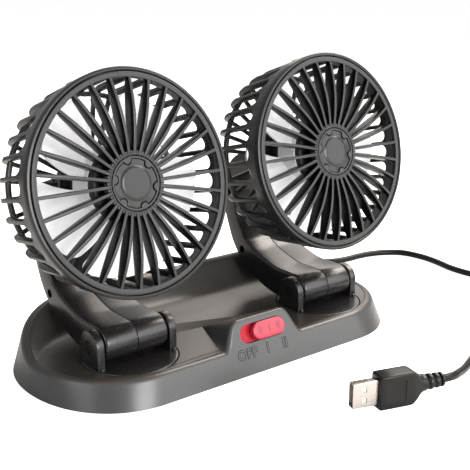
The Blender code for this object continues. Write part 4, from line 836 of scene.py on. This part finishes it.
def column_solid(columns):
    """A closed solid through the right half's columns and their mirror images."""
    mirrored = [[Vector((-place.x, place.y, place.z)) for place in column]
                for column in reversed(columns[1:-1])]
    return loft([list(level) for level in zip(*columns, *mirrored)])


columns = base_columns()
print(len(columns), "columns from the middle of the front to the middle of the back")

# %% [markdown]
# Seats for the turntables, the switch's slot, the cord's hole and the whole
# hollow under the tray are taken out of the shell, in the order a toolmaker would
# think of them: big pockets first. A round boss has to stay under each seat to carry
# the turntable, so it is taken out of the hollow before the hollow is taken out of
# the shell. Adding it afterwards would lay face on face, which confuses the solver.

# %% Shell with its pockets
SWITCH_Z = 19.3 * MM
SLOT_LENGTH, SLOT_HEIGHT = 28.6 * MM, 9.5 * MM
SEAT_RADIUS, SEAT_Z, DISC_TOP_Z = 23.7 * MM, 11.8 * MM, 13.8 * MM
PIVOT_BORE, BOSS_RADIUS, BOSS_BOTTOM_Z = 7.3 * MM, 25.9 * MM, 9.5 * MM
CORD_HOLE = 3.3 * MM
wall_frame = (Matrix.Translation((0, front_wall_y(SWITCH_Z), SWITCH_Z))
              @ Matrix.Rotation(math.pi / 2 - WALL_TILT, 4, "X"))
gland_frame = Matrix.Translation(gland_place) @ GLAND_WAY.to_track_quat("Z", "Y").to_matrix().to_4x4()
outside = column_solid([rolled(column) for column in columns])
inside = column_solid([lining(column) for column in columns])
above, below = DISC_TOP_Z + MM, 8.0 * MM
seat = spun(((0, above), (SEAT_RADIUS + 0.3 * MM, above), (SEAT_RADIUS + 0.3 * MM, FLOOR_Z),
             (SEAT_RADIUS, FLOOR_Z - 0.3 * MM), (SEAT_RADIUS, SEAT_Z), (PIVOT_BORE, SEAT_Z),
             (PIVOT_BORE, below), (0, below)), 96)
slot = moved(slab(stadium(SLOT_LENGTH, SLOT_HEIGHT), -2 * WALL, WALL), wall_frame)
hole = spun(((0, WALL * 2), (CORD_HOLE, WALL * 2), (CORD_HOLE, -WALL * 3), (0, -WALL * 3)), 32)
boss = slab(polygon(BOSS_RADIUS, 64), BOSS_BOTTOM_Z, above)
swivels = [unit_frame(side) for side in SIDES.values()]
hollow = carved(inside, copies(boss, swivels))
shell = carved(outside, hollow, copies(seat, swivels), slot, moved(hole, gland_frame))
finish_piece("base_shell_fine", shell, "base", graphite_abs, ["base_shell"], 28)

# %% [markdown]
# The markings under the switch are generic: off, speed one and speed two. They are
# letters in the wall's own plastic, each outlined by a fine dark line of painted
# shade, which stands for the shade in an engraved groove. The dark line is drawn as a
# slightly bolder letter just behind, because a groove cut this fine would double the
# shell's faces and hardly show.

# %% Markings
MARKS = (("OFF", -12.0), ("I", 1.0), ("II", 12.2))
MARK_LEVEL, MARK_SIZE = -9.7, 7.0


def lettering(words, size, low, high, bolder=0.0):
    """Plain sans letters as closed plates between two depths, centred on the origin."""
    data = bpy.data.curves.new("letters", "FONT")
    data.body = words
    data.size = size
    data.align_x = "CENTER"
    data.align_y = "CENTER"
    data.extrude = (high - low) / 2
    data.offset = 0.02 * MM + bolder
    holder = bpy.data.objects.new("letters", data)
    bpy.context.scene.collection.objects.link(holder)
    view = bpy.context.evaluated_depsgraph_get()
    mesh = bpy.data.meshes.new_from_object(holder.evaluated_get(view))
    shape = bmesh.new()
    shape.from_mesh(mesh)
    bmesh.ops.remove_doubles(shape, verts=shape.verts, dist=TOUCHING)
    bpy.data.objects.remove(holder)
    bpy.data.curves.remove(data)
    bpy.data.meshes.remove(mesh)
    return moved(shape, Matrix.Translation((0, 0, (low + high) / 2)))


def raised_mark(name, words, size, depths, bolder, place, body, finishes):
    """A word in low relief, over a bolder one in a darker finish that outlines it as painted shade."""
    low, line_top, top = (depth * MM for depth in depths)
    letter_finish, outline_shade_finish = finishes
    name = f"{name}_{words.lower()}"
    line = moved(lettering(words, size * MM, low, line_top, bolder * MM), place)
    finish_piece(f"{name}_shadow", line, body, outline_shade_finish)
    finish_piece(name, moved(lettering(words, size * MM, low, top), place), body, letter_finish)


# Each word gets a dark outline of painted shade behind it
for words, x in MARKS:
    place = wall_frame @ Matrix.Translation(Vector((x, MARK_LEVEL, 0)) * MM)
    raised_mark("marking", words, MARK_SIZE, (-0.10, 0.03, 0.12), 0.36, place, "base",
                (graphite_abs, groove_shade_black))

# %% [markdown]
# ## Switch
#
# A pale red slider with softly rounded ends sits in a darker red slot. Its face
# carries three faint raised marks for the thumb, each outlined in a darker red as
# painted shade. The liner behind it is what shows as the dark red recess when the
# slider stands to one side. Both are outlines pushed out, so that the gap between
# them is the same all the way round.

# %% Slider and liner
SLIDER_LENGTH, SLIDER_GAP, LINER_LAP = 20.6 * MM, 0.6 * MM, 1.8 * MM
SLIDER_MARKS = (("0", -5.6), ("I", 0.2), ("II", 5.8))
SLIDER_MARK_SIZE = 4.8
SLIDER_BACK, SLIDER_FACE, STEM_END = -2.0 * MM, 1.1 * MM, -6.4 * MM
LINER_BACK, LINER_FACE = -3.3 * MM, -2.3 * MM
TRAVEL = SLOT_LENGTH - SLIDER_LENGTH - SLIDER_GAP
slider = slab(stadium(SLIDER_LENGTH, SLOT_HEIGHT - SLIDER_GAP, 24), SLIDER_BACK, SLIDER_FACE,
              0, 0.7 * MM, 4)
stem = slab(rounded_box(3.0 * MM, 2.4 * MM, 0.3 * MM), STEM_END, SLIDER_BACK + 0.3 * MM)
slider_place = wall_frame @ Matrix.Translation((TRAVEL / 2, 0, 0))
finish_piece("slider", moved(joined(slider, stem), slider_place), "slider", slider_red,
             ["switch_slider"])
# Each mark gets a darker red outline of painted shade
for words, x in SLIDER_MARKS:
    raised_mark("slider_mark", words, SLIDER_MARK_SIZE, (1.0, 1.12, 1.2), 0.30,
                slider_place @ Matrix.Translation((x * MM, 0, 0)), "slider",
                (slider_red, mark_shade_red))

liner = slab(stadium(SLOT_LENGTH + LINER_LAP, SLOT_HEIGHT + LINER_LAP, 24), LINER_BACK, LINER_FACE)
slit = slab(rounded_box(TRAVEL + 3.6 * MM, 3.0 * MM, 0.4 * MM), -4.0 * MM, -1.0 * MM)
finish_piece("slot_liner", moved(carved(liner, slit), wall_frame), "base", liner_red,
             ["switch_liner"])

# %% [markdown]
# ## Turntable
#
# A thin disc with a rounded rim that catches the light, and two D-shaped ears that
# hold the arm's barrel. The left ear has a hex pocket for the nut and the right ear a
# round one for the bolt's head. A small tab runs along the foot of each ear, where
# the real moulding is thickened against bending. The disc and the pivot under it are
# turned in one.

# %% Disc
DISC_RADIUS, DISC_BOTTOM_Z, DISC_ROUND = 23.4 * MM, 12.1 * MM, 0.6 * MM
PIVOT_RADIUS, PIVOT_BOTTOM_Z = 7.0 * MM, 9.8 * MM
disc_rim = eased(Vector((DISC_RADIUS - DISC_ROUND, DISC_TOP_Z)), Vector((DISC_RADIUS, DISC_TOP_Z)),
                 Vector((DISC_RADIUS, DISC_TOP_Z - DISC_ROUND)), 4)
disc = spun([(0, DISC_TOP_Z), (DISC_RADIUS - 1.6 * MM, DISC_TOP_Z), *disc_rim,
             (DISC_RADIUS, DISC_BOTTOM_Z), (PIVOT_RADIUS, DISC_BOTTOM_Z),
             (PIVOT_RADIUS, PIVOT_BOTTOM_Z), (0, PIVOT_BOTTOM_Z)], 128)

# %% [markdown]
# Each ear is drawn from the side and pushed out, and a matrix lays it across the fan.
# The pockets are cut into its outer face along the bolt's line.

# %% Ears
EAR_RADIUS, EAR_INSIDE, EAR_OUTSIDE = 7.9 * MM, 17.9 * MM, 22.0 * MM
BOLT_BORE, HEAD_POCKET, NUT_POCKET, POCKET_DEPTH = 1.8 * MM, 3.1 * MM, 3.5 * MM, 2.5 * MM
# Lays an (x, y) outline on the fan's (y, z) plane, with its thickness along x
SIDE_ON = Matrix(((0, 0, 1, 0), (1, 0, 0, 0), (0, 1, 0, 0), (0, 0, 0, 1)))
ALONG_X = Matrix.Rotation(math.pi / 2, 4, "Y")
ear_outline = [Vector((EAR_RADIUS, DISC_TOP_Z - 0.5 * MM))]
ear_outline += arc((0, HINGE_Z), EAR_RADIUS, 0, math.pi, 28)
ear_outline += [Vector((-EAR_RADIUS, DISC_TOP_Z - 0.5 * MM))]
ears = []
for side, sides, radius in ((1, 32, HEAD_POCKET), (-1, 6, NUT_POCKET)):
    low, high = sorted((side * EAR_INSIDE, side * EAR_OUTSIDE))
    ear = moved(slab(ear_outline, low, high, 0.5 * MM), SIDE_ON)
    bolt_line = Matrix.Translation((side * EAR_OUTSIDE, 0, HINGE_Z)) @ ALONG_X
    pocket = moved(slab(polygon(radius, sides), -POCKET_DEPTH, POCKET_DEPTH), bolt_line)
    bore = moved(slab(polygon(BOLT_BORE, 24), -9 * MM, 9 * MM), bolt_line)
    tab = slab(rounded_box(2 * EAR_RADIUS + 2.6 * MM, 2.0 * MM, 0.5 * MM), DISC_TOP_Z - 0.3 * MM,
               DISC_TOP_Z + 1.3 * MM, 0, 0.4 * MM)
    across = Matrix.Translation(((low + high) / 2, 0, 0)) @ Matrix.Rotation(math.pi / 2, 4, "Z")
    ears += [carved(ear, pocket, bore), moved(tab, across)]
on_both("turntable_fine", joined(disc, *ears), unit_frame, "swivel_body", satin_black,
        ["turntable"])

# %% [markdown]
# ## Arm
#
# Two half shells, screwed together from the left, form a broad C from the hinge
# barrel to the back of the head. Each half is the arm's side outline pushed out by
# half its width, with a generous round on the outside and a tiny one at the seam,
# which leaves the fine dark line down the middle of the real arm. The outline's two
# edges are smooth lines through a few places, given as shares of the arm's depth and
# height, so that the arm can be made longer or taller without drawing it again.

# %% Arm outline
ARM_DEPTH = 65.5 * MM
BARREL_RADIUS = 8.3 * MM
COVER_BACK, NECK_GRIP = 46.0 * MM, 6.8 * MM
ARM_OUTER = ((0, -0.127), (0.205, -0.119), (0.36, -0.094), (0.50, -0.049), (0.66, 0.012), (0.77, 0.125),
             (0.86, 0.245), (0.927, 0.39), (0.98, 0.535), (1, 0.67), (0.977, 0.80), (0.908, 0.925),
             (0.79, 1.02))
ARM_INNER = ((0, 0.127), (0.13, 0.127), (0.26, 0.131), (0.40, 0.164), (0.52, 0.204), (0.61, 0.255),
             (0.663, 0.29), (0.718, 0.364), (0.78, 0.475), (0.81, 0.60), (0.806, 0.715), (0.756, 0.81),
             (0.657, 0.88))
arm_end = HEAD_OFFSET + AXIS_BACK * (COVER_BACK + 0.3 * MM)


def arm_places(shares):
    """An arm edge as (y, z) places from the hinge."""
    return [Vector((y * ARM_DEPTH, z * arm_end.z)) for y, z in shares]


half_neck = AXIS_UP * NECK_GRIP
lower = flowing([*arm_places(ARM_OUTER), (arm_end + half_neck).yz], 4)
upper = flowing([*arm_places(ARM_INNER), (arm_end - half_neck).yz], 4)
barrel = arc((0, 0), BARREL_RADIUS, math.pi / 2, math.pi * 1.5, 28)
arm_outline = lower[1:] + upper[:0:-1] + barrel
print(f"arm outline: {len(arm_outline)} places")

# %% [markdown]
# The left half has two deep, stepped holes for the screws that close the arm. They
# are turned shapes, laid along X and cut out, as a core pin leaves them.

# %% Arm halves
ARM_HALF_WIDTH, SEAM_GAP = 17.2 * MM, 0.15 * MM
OUTER_ROUND, SEAM_ROUND = 1.5 * MM, 0.25 * MM
ARM_SCREWS = ((0.71, 0.185), (0.905, 0.67))
SCREW_HOLE = in_mm((0, -19.0), (2.25, -19.0), (2.25, -8.0), (1.1, -8.0), (1.1, -4.0), (0, -4.0))
for name, low, high, edges in (("left", -ARM_HALF_WIDTH, -SEAM_GAP, (OUTER_ROUND, SEAM_ROUND)),
                               ("right", SEAM_GAP, ARM_HALF_WIDTH, (SEAM_ROUND, OUTER_ROUND))):
    half = moved(slab(arm_outline, low, high, *edges, 4), SIDE_ON)
    if name == "left":
        holes = []
        for y, z in ARM_SCREWS:
            place = Matrix.Translation((0, y * ARM_DEPTH, z * arm_end.z)) @ ALONG_X
            holes.append(moved(spun(SCREW_HOLE, 32), place))
        half = carved(half, *holes)
    on_both(f"arm_{name}_fine", half, lambda side: unit_frame(side, HINGE_Z), "arm",
            satin_black, [f"arm_shell_{name}"])

# %% [markdown]
# ## Rear cage
#
# The cage is one moulding: a front band, 32 fins that run straight back and turn in
# to the hub, a ring that ties them, and the motor's tube. Where the fins leave the
# band, the real slots end in half rounds, so the band's back edge is drawn as a wave
# that climbs up both flanks of every fin. Cutting 32 slots out of a plain band would
# give the same edge with far more faces.

# %% Band with its scalloped back edge
CAGE_FINS = 32
FIN_THICKNESS = 2.0 * MM
HEAD_RADIUS, LIP_RADIUS, BAND_DEPTH = 52.0 * MM, 50.2 * MM, 9.0 * MM
SLOT_RING = 50.0 * MM
BAND_STEPS = CAGE_FINS * 16


def scallop(angle):
    """How far the band's back edge reaches back at one turn: a half round between two fins."""
    step = math.tau / CAGE_FINS
    off = abs((angle + step / 2) % step - step / 2) * SLOT_RING - FIN_THICKNESS / 2
    slot_end = (step * SLOT_RING - FIN_THICKNESS) / 2
    if off <= 0:
        return slot_end
    return slot_end - math.sqrt(max(slot_end ** 2 - (slot_end - off) ** 2, 0.0))


def band_ring(angle):
    """The band's cross section at one turn."""
    back = BAND_DEPTH + scallop(angle)
    profile = ((LIP_RADIUS, 0.35 * MM), (LIP_RADIUS + 0.3 * MM, 0.0), (HEAD_RADIUS - 0.9 * MM, 0.0),
               (HEAD_RADIUS - 0.35 * MM, 0.2 * MM), (HEAD_RADIUS - 0.05 * MM, 0.8 * MM),
               (51.75 * MM, 4.0 * MM), (51.4 * MM, 8.0 * MM), (51.2 * MM, back - 0.3 * MM),
               (50.9 * MM, back), (48.8 * MM, back),
               (48.5 * MM, back - 0.3 * MM), (48.5 * MM, 3.5 * MM), (LIP_RADIUS, 3.5 * MM))
    return [Vector((radius * math.cos(angle), radius * math.sin(angle), depth))
            for radius, depth in profile]


rings = [band_ring(number * math.tau / BAND_STEPS) for number in range(BAND_STEPS)]
band = loft(rings + rings[:1], capped=False)
bmesh.ops.remove_doubles(band, verts=band.verts, dist=TOUCHING)
print(f"band: {len(band.faces)} faces")

# %% [markdown]
# A fin is an outline with rounded corners, stood up on the head's radius and copied
# round. The ring that ties the fins and the motor's tube are turned.

# %% Fins, ring and tube
# Stands a (radius, depth) outline up on a head's radius, by a turn that keeps faces outwards
ON_RADIUS = Matrix.Rotation(math.pi / 2, 4, "X")
MOST_OF_A_SIDE = 0.45


def filleted(points, radius, steps=4, closed=False):
    """An outline with its corners rounded, less where its sides are short."""
    places = [Vector(point) for point in points]
    result = []
    for number, corner in enumerate(places):
        if not closed and number in (0, len(places) - 1):
            result.append(corner)
            continue
        before = places[number - 1] - corner
        after = places[(number + 1) % len(places)] - corner
        reach = min(radius, before.length * MOST_OF_A_SIDE, after.length * MOST_OF_A_SIDE)
        result += eased(corner + before.normalized() * reach, corner,
                        corner + after.normalized() * reach, steps)
    return result


def around(count, start=0.0):
    """Matrices that spread copies evenly about Z."""
    return [Matrix.Rotation(start + math.tau * number / count, 4, "Z") for number in range(count)]


fin_outline = in_mm((51.0, 8.5), (48.3, 36.4), (45.6, 42.5), (17.0, 42.5), (17.0, 40.5), (42.8, 40.5),
                    (45.2, 36.0), (47.8, 8.5))
fin = slab(filleted(fin_outline, 3.0 * MM, 5, closed=True), -FIN_THICKNESS / 2, FIN_THICKNESS / 2,
           0.3 * MM, segments=2)
fins = copies(moved(fin, ON_RADIUS), around(CAGE_FINS))
tie_outline = in_mm((42.8, 35.7), (45.2, 35.7), (45.2, 38.1), (42.8, 38.1))
tie = spun(filleted(tie_outline, 0.6 * MM, 3, closed=True), 96, closed=True)
tube = spun(in_mm((10.3, 27.0), (12.3, 27.0), (12.3, 39.5), (17.4, 39.5), (18.0, 40.1), (18.0, 41.7),
                  (17.4, 42.2), (3.0, 42.2), (3.0, 38.5), (10.3, 38.5)), 64, closed=True)
on_both("rear_cage_fine", joined(band, fins, tie, tube), head_frame, "arm", cage_abs,
        ["rear_cage"])

# %% [markdown]
# ## Front grille
#
# The grille snaps into the band and leaves a thin dark gap. Thirty blade-like
# spokes bulge forward between the rim and the hub. They are narrow in front and
# deep, so from the side each one shows a bright front edge and a dark flank. One
# spoke is drawn as a side outline and copied round, as its mould was cut.

# %% Rim and spokes
SPOKES = 30
SPOKE_INNER, SPOKE_OUTER, SPOKE_STEPS = 12.5 * MM, 48.1 * MM, 12
SPOKE_HALF_WIDTH, SPOKE_BULGE = 0.75 * MM, 2.5 * MM
rim_outline = in_mm((47.1, 0.0), (49.8, 0.0), (49.8, 3.0), (47.1, 3.0))
rim = spun(filleted(rim_outline, 0.7 * MM, 4, closed=True), 160, closed=True)
front_edge = []
for step in range(SPOKE_STEPS + 1):
    share = step / SPOKE_STEPS
    level = (0.9 * share - 0.6) * MM - SPOKE_BULGE * math.sin(math.pi * share)
    front_edge.append(Vector((SPOKE_INNER + (SPOKE_OUTER - SPOKE_INNER) * share, level)))
back_edge = in_mm((48.1, 2.7), (44.0, 4.0), (30.0, 4.6), (17.0, 4.0), (12.5, 3.0))
spoke = slab(front_edge + back_edge, -SPOKE_HALF_WIDTH, SPOKE_HALF_WIDTH, 0.3 * MM, segments=2)
spokes = copies(moved(spoke, ON_RADIUS), around(SPOKES))

# %% [markdown]
# The hub repays a close look: small teeth fill the gaps between the spokes' ends,
# then come a dark groove, a smooth ring with six half-round lugs and the cap that
# the lugs key into. One outline serves ring and cap: the ring is cut with it a little
# larger, which makes the fine gap around the cap even.

# %% Outline of the cap
CAP_RADIUS, CAP_GAP, NOTCH_RADIUS, NOTCHES = 11.0 * MM, 0.3 * MM, 2.2 * MM, 6


def cap_outline(radius, notch):
    """A round outline with half-round bites in its edge."""
    step = math.tau / NOTCHES
    half = 2 * math.asin(notch / (2 * radius))
    places = []
    for number in range(NOTCHES):
        middle = number * step + step / 4
        centre = (radius * math.cos(middle), radius * math.sin(middle))
        inward = middle + math.pi
        opening = math.pi / 2 - half / 2
        places += arc(centre, notch, inward + opening, inward - opening, 12)[1:-1]
        places += arc((0, 0), radius, middle + half, middle + step - half, 14)
    return places


# %% Hub, ring and teeth
RING_PLATE_RADIUS, TEETH_RADIUS = 12.1 * MM, 13.9 * MM
hub = spun(in_mm((0, 1.2), (11.0, 1.2), (12.35, 1.2), (12.35, 0.4), (12.55, -0.1), (12.6, -0.6),
                 (12.85, -0.9), (13.25, -0.9), (13.5, -0.65), (13.5, 3.2), (13.2, 3.5), (0, 3.5)), 120)
ring_plate = slab(polygon(RING_PLATE_RADIUS, 120), -0.75 * MM, 1.3 * MM, 0, 0.3 * MM)
key = slab(cap_outline(CAP_RADIUS + CAP_GAP, NOTCH_RADIUS - CAP_GAP), -2.0 * MM, 1.1 * MM)
ring_plate = carved(ring_plate, key)
tooth = slab(rounded_box(1.7 * MM, 1.2 * MM, 0.2 * MM, 2), -0.7 * MM, 2.5 * MM, 0.15 * MM,
             segments=1)
tooth = moved(tooth, Matrix.Translation((TEETH_RADIUS, 0, 0)))
teeth = copies(tooth, around(SPOKES, math.pi / SPOKES))
on_both("front_grille_fine", joined(rim, spokes, hub, ring_plate, teeth), head_frame, "arm",
        grille_abs_painted_light, ["front_grille"])

# %% [markdown]
# The cap has a flat edge and a domed middle, and is left plain. The floor of the gap
# around it is a thin black disc of painted shade, because so narrow a gap would look
# grey in the grille's own finish.

# %% Cap and the groove around it
# A black disc as painted shade on the floor of the cap's gap
well = spun(in_mm((0, 1.05), (11.6, 1.05), (11.6, 1.25), (0, 1.25)), 48)
on_both("cap_groove_shade", well, head_frame, "arm", groove_shade_black)
plate = slab(cap_outline(CAP_RADIUS, NOTCH_RADIUS), -0.5 * MM, 0.7 * MM, 0.3 * MM, 0)
dome_profile = in_mm((0, -1.25), (6.9, -1.1), (8.3, -0.4), (8.6, 0.3), (0, 0.5))
dome = spun(filleted(dome_profile, 0.8 * MM, 5), 96)
on_both("hub_cap_fine", joined(plate, dome), head_frame, "arm", cap_abs, ["hub_cap"])

# %% [markdown]
# ## Rotor
#
# Five pale blades, twisted and swept, on a thin sleeve over a black hub. Each blade
# is a grid of places, bent round the hub, whose pitch eases towards the tip and
# whose corners are rounded. It is given its thickness last, so that it is the same
# all over, as in a moulding.

# %% Blades
HUB_RADIUS = 17.3 * MM
ROTOR_RADIUS, BLADE_ROOT = 43.0 * MM, 0.8 * MM
BLADES, BLADE_ROWS, BLADE_COLUMNS = 5, 16, 18
BLADE_FRONT, BLADE_BACK, BLADE_THICKNESS = 12.5 * MM, 24.3 * MM, 1.2 * MM
BLADE_TURN, BLADE_SWEEP, BLADE_START = math.radians(60), math.radians(16), math.radians(5)
TIP_FROM, TIP_INSET = 0.8, 0.16


def blade_place(along, across):
    """A place on a blade's middle sheet: along its radius and across its width."""
    root = HUB_RADIUS + BLADE_ROOT
    radius = root + (ROTOR_RADIUS - root) * along
    angle = BLADE_TURN * (across - 0.5) + BLADE_SWEEP * along
    run = BLADE_BACK - BLADE_FRONT - BLADE_THICKNESS
    depth = BLADE_FRONT + BLADE_THICKNESS / 2 + run * across ** (1.2 - 0.2 * along)
    return Vector((radius * math.cos(angle), radius * math.sin(angle), depth))


def blade():
    """One blade with a rounded tip."""
    shape = bmesh.new()
    rows = []
    for row in range(BLADE_ROWS + 1):
        along = row / BLADE_ROWS
        past = max(0.0, (along - TIP_FROM) / (1 - TIP_FROM))
        inset = TIP_INSET * (1 - math.sqrt(max(1 - past ** 2, 0.0)))
        shares = [inset + (1 - 2 * inset) * number / BLADE_COLUMNS
                  for number in range(BLADE_COLUMNS + 1)]
        rows.append([shape.verts.new(blade_place(along, across)) for across in shares])
    for low, high in zip(rows, rows[1:]):
        for number in range(BLADE_COLUMNS):
            shape.faces.new((low[number], low[number + 1], high[number + 1], high[number]))
    bmesh.ops.recalc_face_normals(shape, faces=shape.faces)
    bmesh.ops.solidify(shape, geom=shape.faces[:], thickness=BLADE_THICKNESS * 0.9)
    bmesh.ops.recalc_face_normals(shape, faces=shape.faces)
    return shape


sleeve = spun(in_mm((17.6, 11.7), (18.4, 11.5), (18.6, 11.7), (18.6, 24.4), (18.4, 24.6),
                    (17.6, 24.6)), 96, closed=True)
blades = copies(blade(), around(BLADES, BLADE_START))
on_both("blades_fine", joined(sleeve, blades), head_frame, "rotor", cloudy_blade,
        ["fan_blades"])

# %% [markdown]
# The hub is a turned cup that the motor's shaft carries by a short collar. Only its
# round face shows between the spokes.

# %% Rotor hub
rotor_cup = spun(in_mm((0, 9.0), (15.4, 9.0), (16.5, 9.3), (17.1, 10.0), (17.3, 11.0), (17.3, 25.0),
                       (15.3, 25.0), (15.3, 11.0), (3.0, 11.0), (3.0, 14.0), (1.3, 14.0), (1.3, 11.0),
                       (0, 11.0)), 96)
on_both("rotor_hub_fine", rotor_cup, head_frame, "rotor", black_abs, ["rotor_hub"])

# %% [markdown]
# ## Motor cover
#
# The round cover behind the cage closes the motor and carries the neck that the
# arm's two halves grip. Every section through it is a circle, so it is turned from
# one profile.

# %% Cover
cover = spun(in_mm((0, 42.8), (17.0, 42.8), (17.5, 43.3), (17.5, 44.6), (17.1, 45.5), (16.2, 46.0),
                   (4.0, 46.0), (4.0, 52.0), (5.2, 52.0), (5.2, 53.8), (0, 53.8)), 96)
on_both("motor_cover_fine", cover, head_frame, "arm", black_abs, ["motor_cover"])

# %% [markdown]
# ## Gland and plug
#
# The gland is a ribbed, tapered relief in soft PVC, which keeps the cord from
# kinking where it leaves the base. The ribs are rings, so the whole piece is turned.

# %% Gland
GLAND_RIBS, RIB_PITCH, RIB_DEPTH = 11, 1.05 * MM, 0.35 * MM
gland_profile = [(0, GLAND_NOSE), (2.6 * MM, GLAND_NOSE)]
for step in range(GLAND_RIBS):
    depth = GLAND_NOSE - 0.8 * MM - step * RIB_PITCH
    radius = 2.65 * MM + 0.95 * MM * (step + 1) / 12
    gland_profile += [(radius, depth), (radius - (RIB_DEPTH if step % 2 else 0), depth - 0.5 * MM)]
gland_profile += [(3.6 * MM, 1.9 * MM), (3.0 * MM, 1.9 * MM), (3.0 * MM, -4.6 * MM),
                  (4.6 * MM, -4.6 * MM), (4.6 * MM, -5.6 * MM), (0, -5.6 * MM)]
gland = moved(spun(gland_profile, 48), gland_frame)
finish_piece("gland_fine", gland, "base", cord_pvc, ["cord_gland"])

# %% [markdown]
# The plug is the flat kind that every charger takes, standing on its narrow edge.
# Its grip is a rounded box that tapers into a round, ribbed relief. No single
# outline gives that, so a skin is laid through rounded rectangles of as many places
# each, which turn into circles on the way. A shallow panel is cut into both faces.

# %% Plug grip and relief
plug_side = PLUG_WAY.cross(UP)
plug_frame = (Matrix.Translation(PLUG_TIP - PLUG_WAY * SHELL_LENGTH)
              @ Matrix((UP, plug_side, PLUG_WAY)).transposed().to_4x4())


def box_ring(width, height, corner, level):
    """A rounded rectangle at a level along the plug."""
    return [Vector((place.x, place.y, level)) for place in rounded_box(width, height, corner)]


GRIP_WIDTH, GRIP_HEIGHT, GRIP_CORNER = 16.5 * MM, 9.2 * MM, 1.1 * MM
NECK_RADIUS, END_RADIUS = 4.0 * MM, 3.4 * MM
TAPER_STEPS, RELIEF_STEPS, PLAIN_FROM = 8, 24, 22
# One groove and one rib of the relief, in eight steps
GROOVE = (0.0, 0.0, 0.0, 0.15, 0.75, 1.05, 0.75, 0.15)
grip_rings = []
for level, inset in ((-0.3, 0.7), (-0.5, 0.25), (-1.0, 0.0), (-8.0, 0.0), (-16.0, 0.0)):
    grip_rings.append(box_ring(GRIP_WIDTH - 2 * inset * MM, GRIP_HEIGHT - 2 * inset * MM, GRIP_CORNER,
                               level * MM))
for step in range(1, TAPER_STEPS + 1):
    share = step / TAPER_STEPS
    ease = share * share * (3 - 2 * share)
    grip_rings.append(box_ring(GRIP_WIDTH + (2 * NECK_RADIUS - GRIP_WIDTH) * ease,
                               GRIP_HEIGHT + (2 * NECK_RADIUS - GRIP_HEIGHT) * ease,
                               GRIP_CORNER + 2.8 * MM * ease, -GRIP_LENGTH - GRIP_TAPER * share))
for step in range(1, RELIEF_STEPS + 1):
    share = step / RELIEF_STEPS
    radius = NECK_RADIUS + (END_RADIUS - NECK_RADIUS) * share
    if step < PLAIN_FROM:
        radius -= GROOVE[step % len(GROOVE)] * MM
    grip_rings.append(box_ring(2 * radius, 2 * radius, radius * 0.98,
                               -GRIP_LENGTH - GRIP_TAPER - RELIEF_LENGTH * share))
ACROSS_GRIP = Matrix.Rotation(math.pi / 2, 4, "X")
panels = []
for face in (-1, 1):
    place = Matrix.Translation((0, face * GRIP_HEIGHT / 2, -8.6 * MM)) @ ACROSS_GRIP
    sunk = slab(rounded_box(10.5 * MM, 10.0 * MM, 0.8 * MM), -0.4 * MM, 0.4 * MM, 0.15 * MM)
    panels.append(moved(sunk, place))
grip = carved(loft(grip_rings), *panels)
plug_grip = finish_piece("plug_grip_fine", moved(grip, plug_frame), "base", plug_pvc,
                         ["plug_grip"])

# %% [markdown]
# The plug's shell is folded from nickel-plated sheet, with two windows in each broad
# side that the socket's springs snap into. A white tongue carries the contacts. The
# tube is a rounded box with its space and windows cut out of it.

# %% Plug shell and tongue
WINDOW_OFFSET, WINDOW_SHARE = 2.64 * MM, 0.53
steel_tube = slab(rounded_box(12.0 * MM, 4.5 * MM, 0.6 * MM), 0, SHELL_LENGTH, 0, 0.15 * MM)
inner_space = slab(rounded_box(11.2 * MM, 3.7 * MM, 0.4 * MM), 0.4 * MM, SHELL_LENGTH + MM)
windows = []
for side in (-1, 1):
    place = Matrix.Translation((side * WINDOW_OFFSET, 0, SHELL_LENGTH * WINDOW_SHARE)) @ ACROSS_GRIP
    windows.append(moved(slab(rounded_box(2.4 * MM, 2.2 * MM, 0.3 * MM), -5 * MM, 5 * MM), place))
sheet_shell = carved(steel_tube, inner_space, *windows)
plug_shell = finish_piece("plug_shell_fine", moved(sheet_shell, plug_frame), "base", plug_nickel,
                          ["plug_shell"], 50)
tongue = slab(rounded_box(10.5 * MM, 1.8 * MM, 0.2 * MM), 0.7 * MM, SHELL_LENGTH - MM, 0, 0.2 * MM)
tongue = moved(tongue, plug_frame @ Matrix.Translation((0, -0.65 * MM, 0)))
plug_tongue = finish_piece("plug_tongue_fine", tongue, "base", white_nylon,
                           ["plug_tongue"])

# %% [markdown]
# ## The cord's finish
#
# A cord bends, so whoever uses the fan has to lay it anew. Here the cord gets its
# finish, rides on the base and takes the place of the CAD's three cord nodes.

# %% Cord's finish and body
cord_data.materials.append(cord_pvc)
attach(cord, "base")
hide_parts("cord_to_coil", "cord_coil", "cord_to_plug")

# %% [markdown]
# ## Parts that keep their shape
#
# Screws, washers, motor, feet and plate are small or hidden. Their CAD solids are
# fine enough, so they stay, and only get their finish.

# %% Finishes of the other parts
CORNERS = ("front_left", "front_right", "back_left", "back_right")


def dress(finish, *names):
    """Give CAD nodes that keep their shape a finish."""
    for name in names:
        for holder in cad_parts[name].material_slots:
            holder.material = finish


dress(black_abs, "base_plate")
dress(grey_pad, *[f"foot_{name}" for name in CORNERS])
dress(zinc_steel, "switch_body", *[f"base_screw_{name}" for name in CORNERS])
dress(circuit_green, "switch_board")
for prefix in SIDES:
    for name in ("swivel_washer", "swivel_screw", "motor_shaft"):
        dress(zinc_steel, f"{prefix}_{name}")
    for name in ("hinge_bolt", "hinge_nut", "arm_screw_lower", "arm_screw_upper"):
        dress(blackened_steel, f"{prefix}_{name}")
    dress(motor_steel, f"{prefix}_motor")
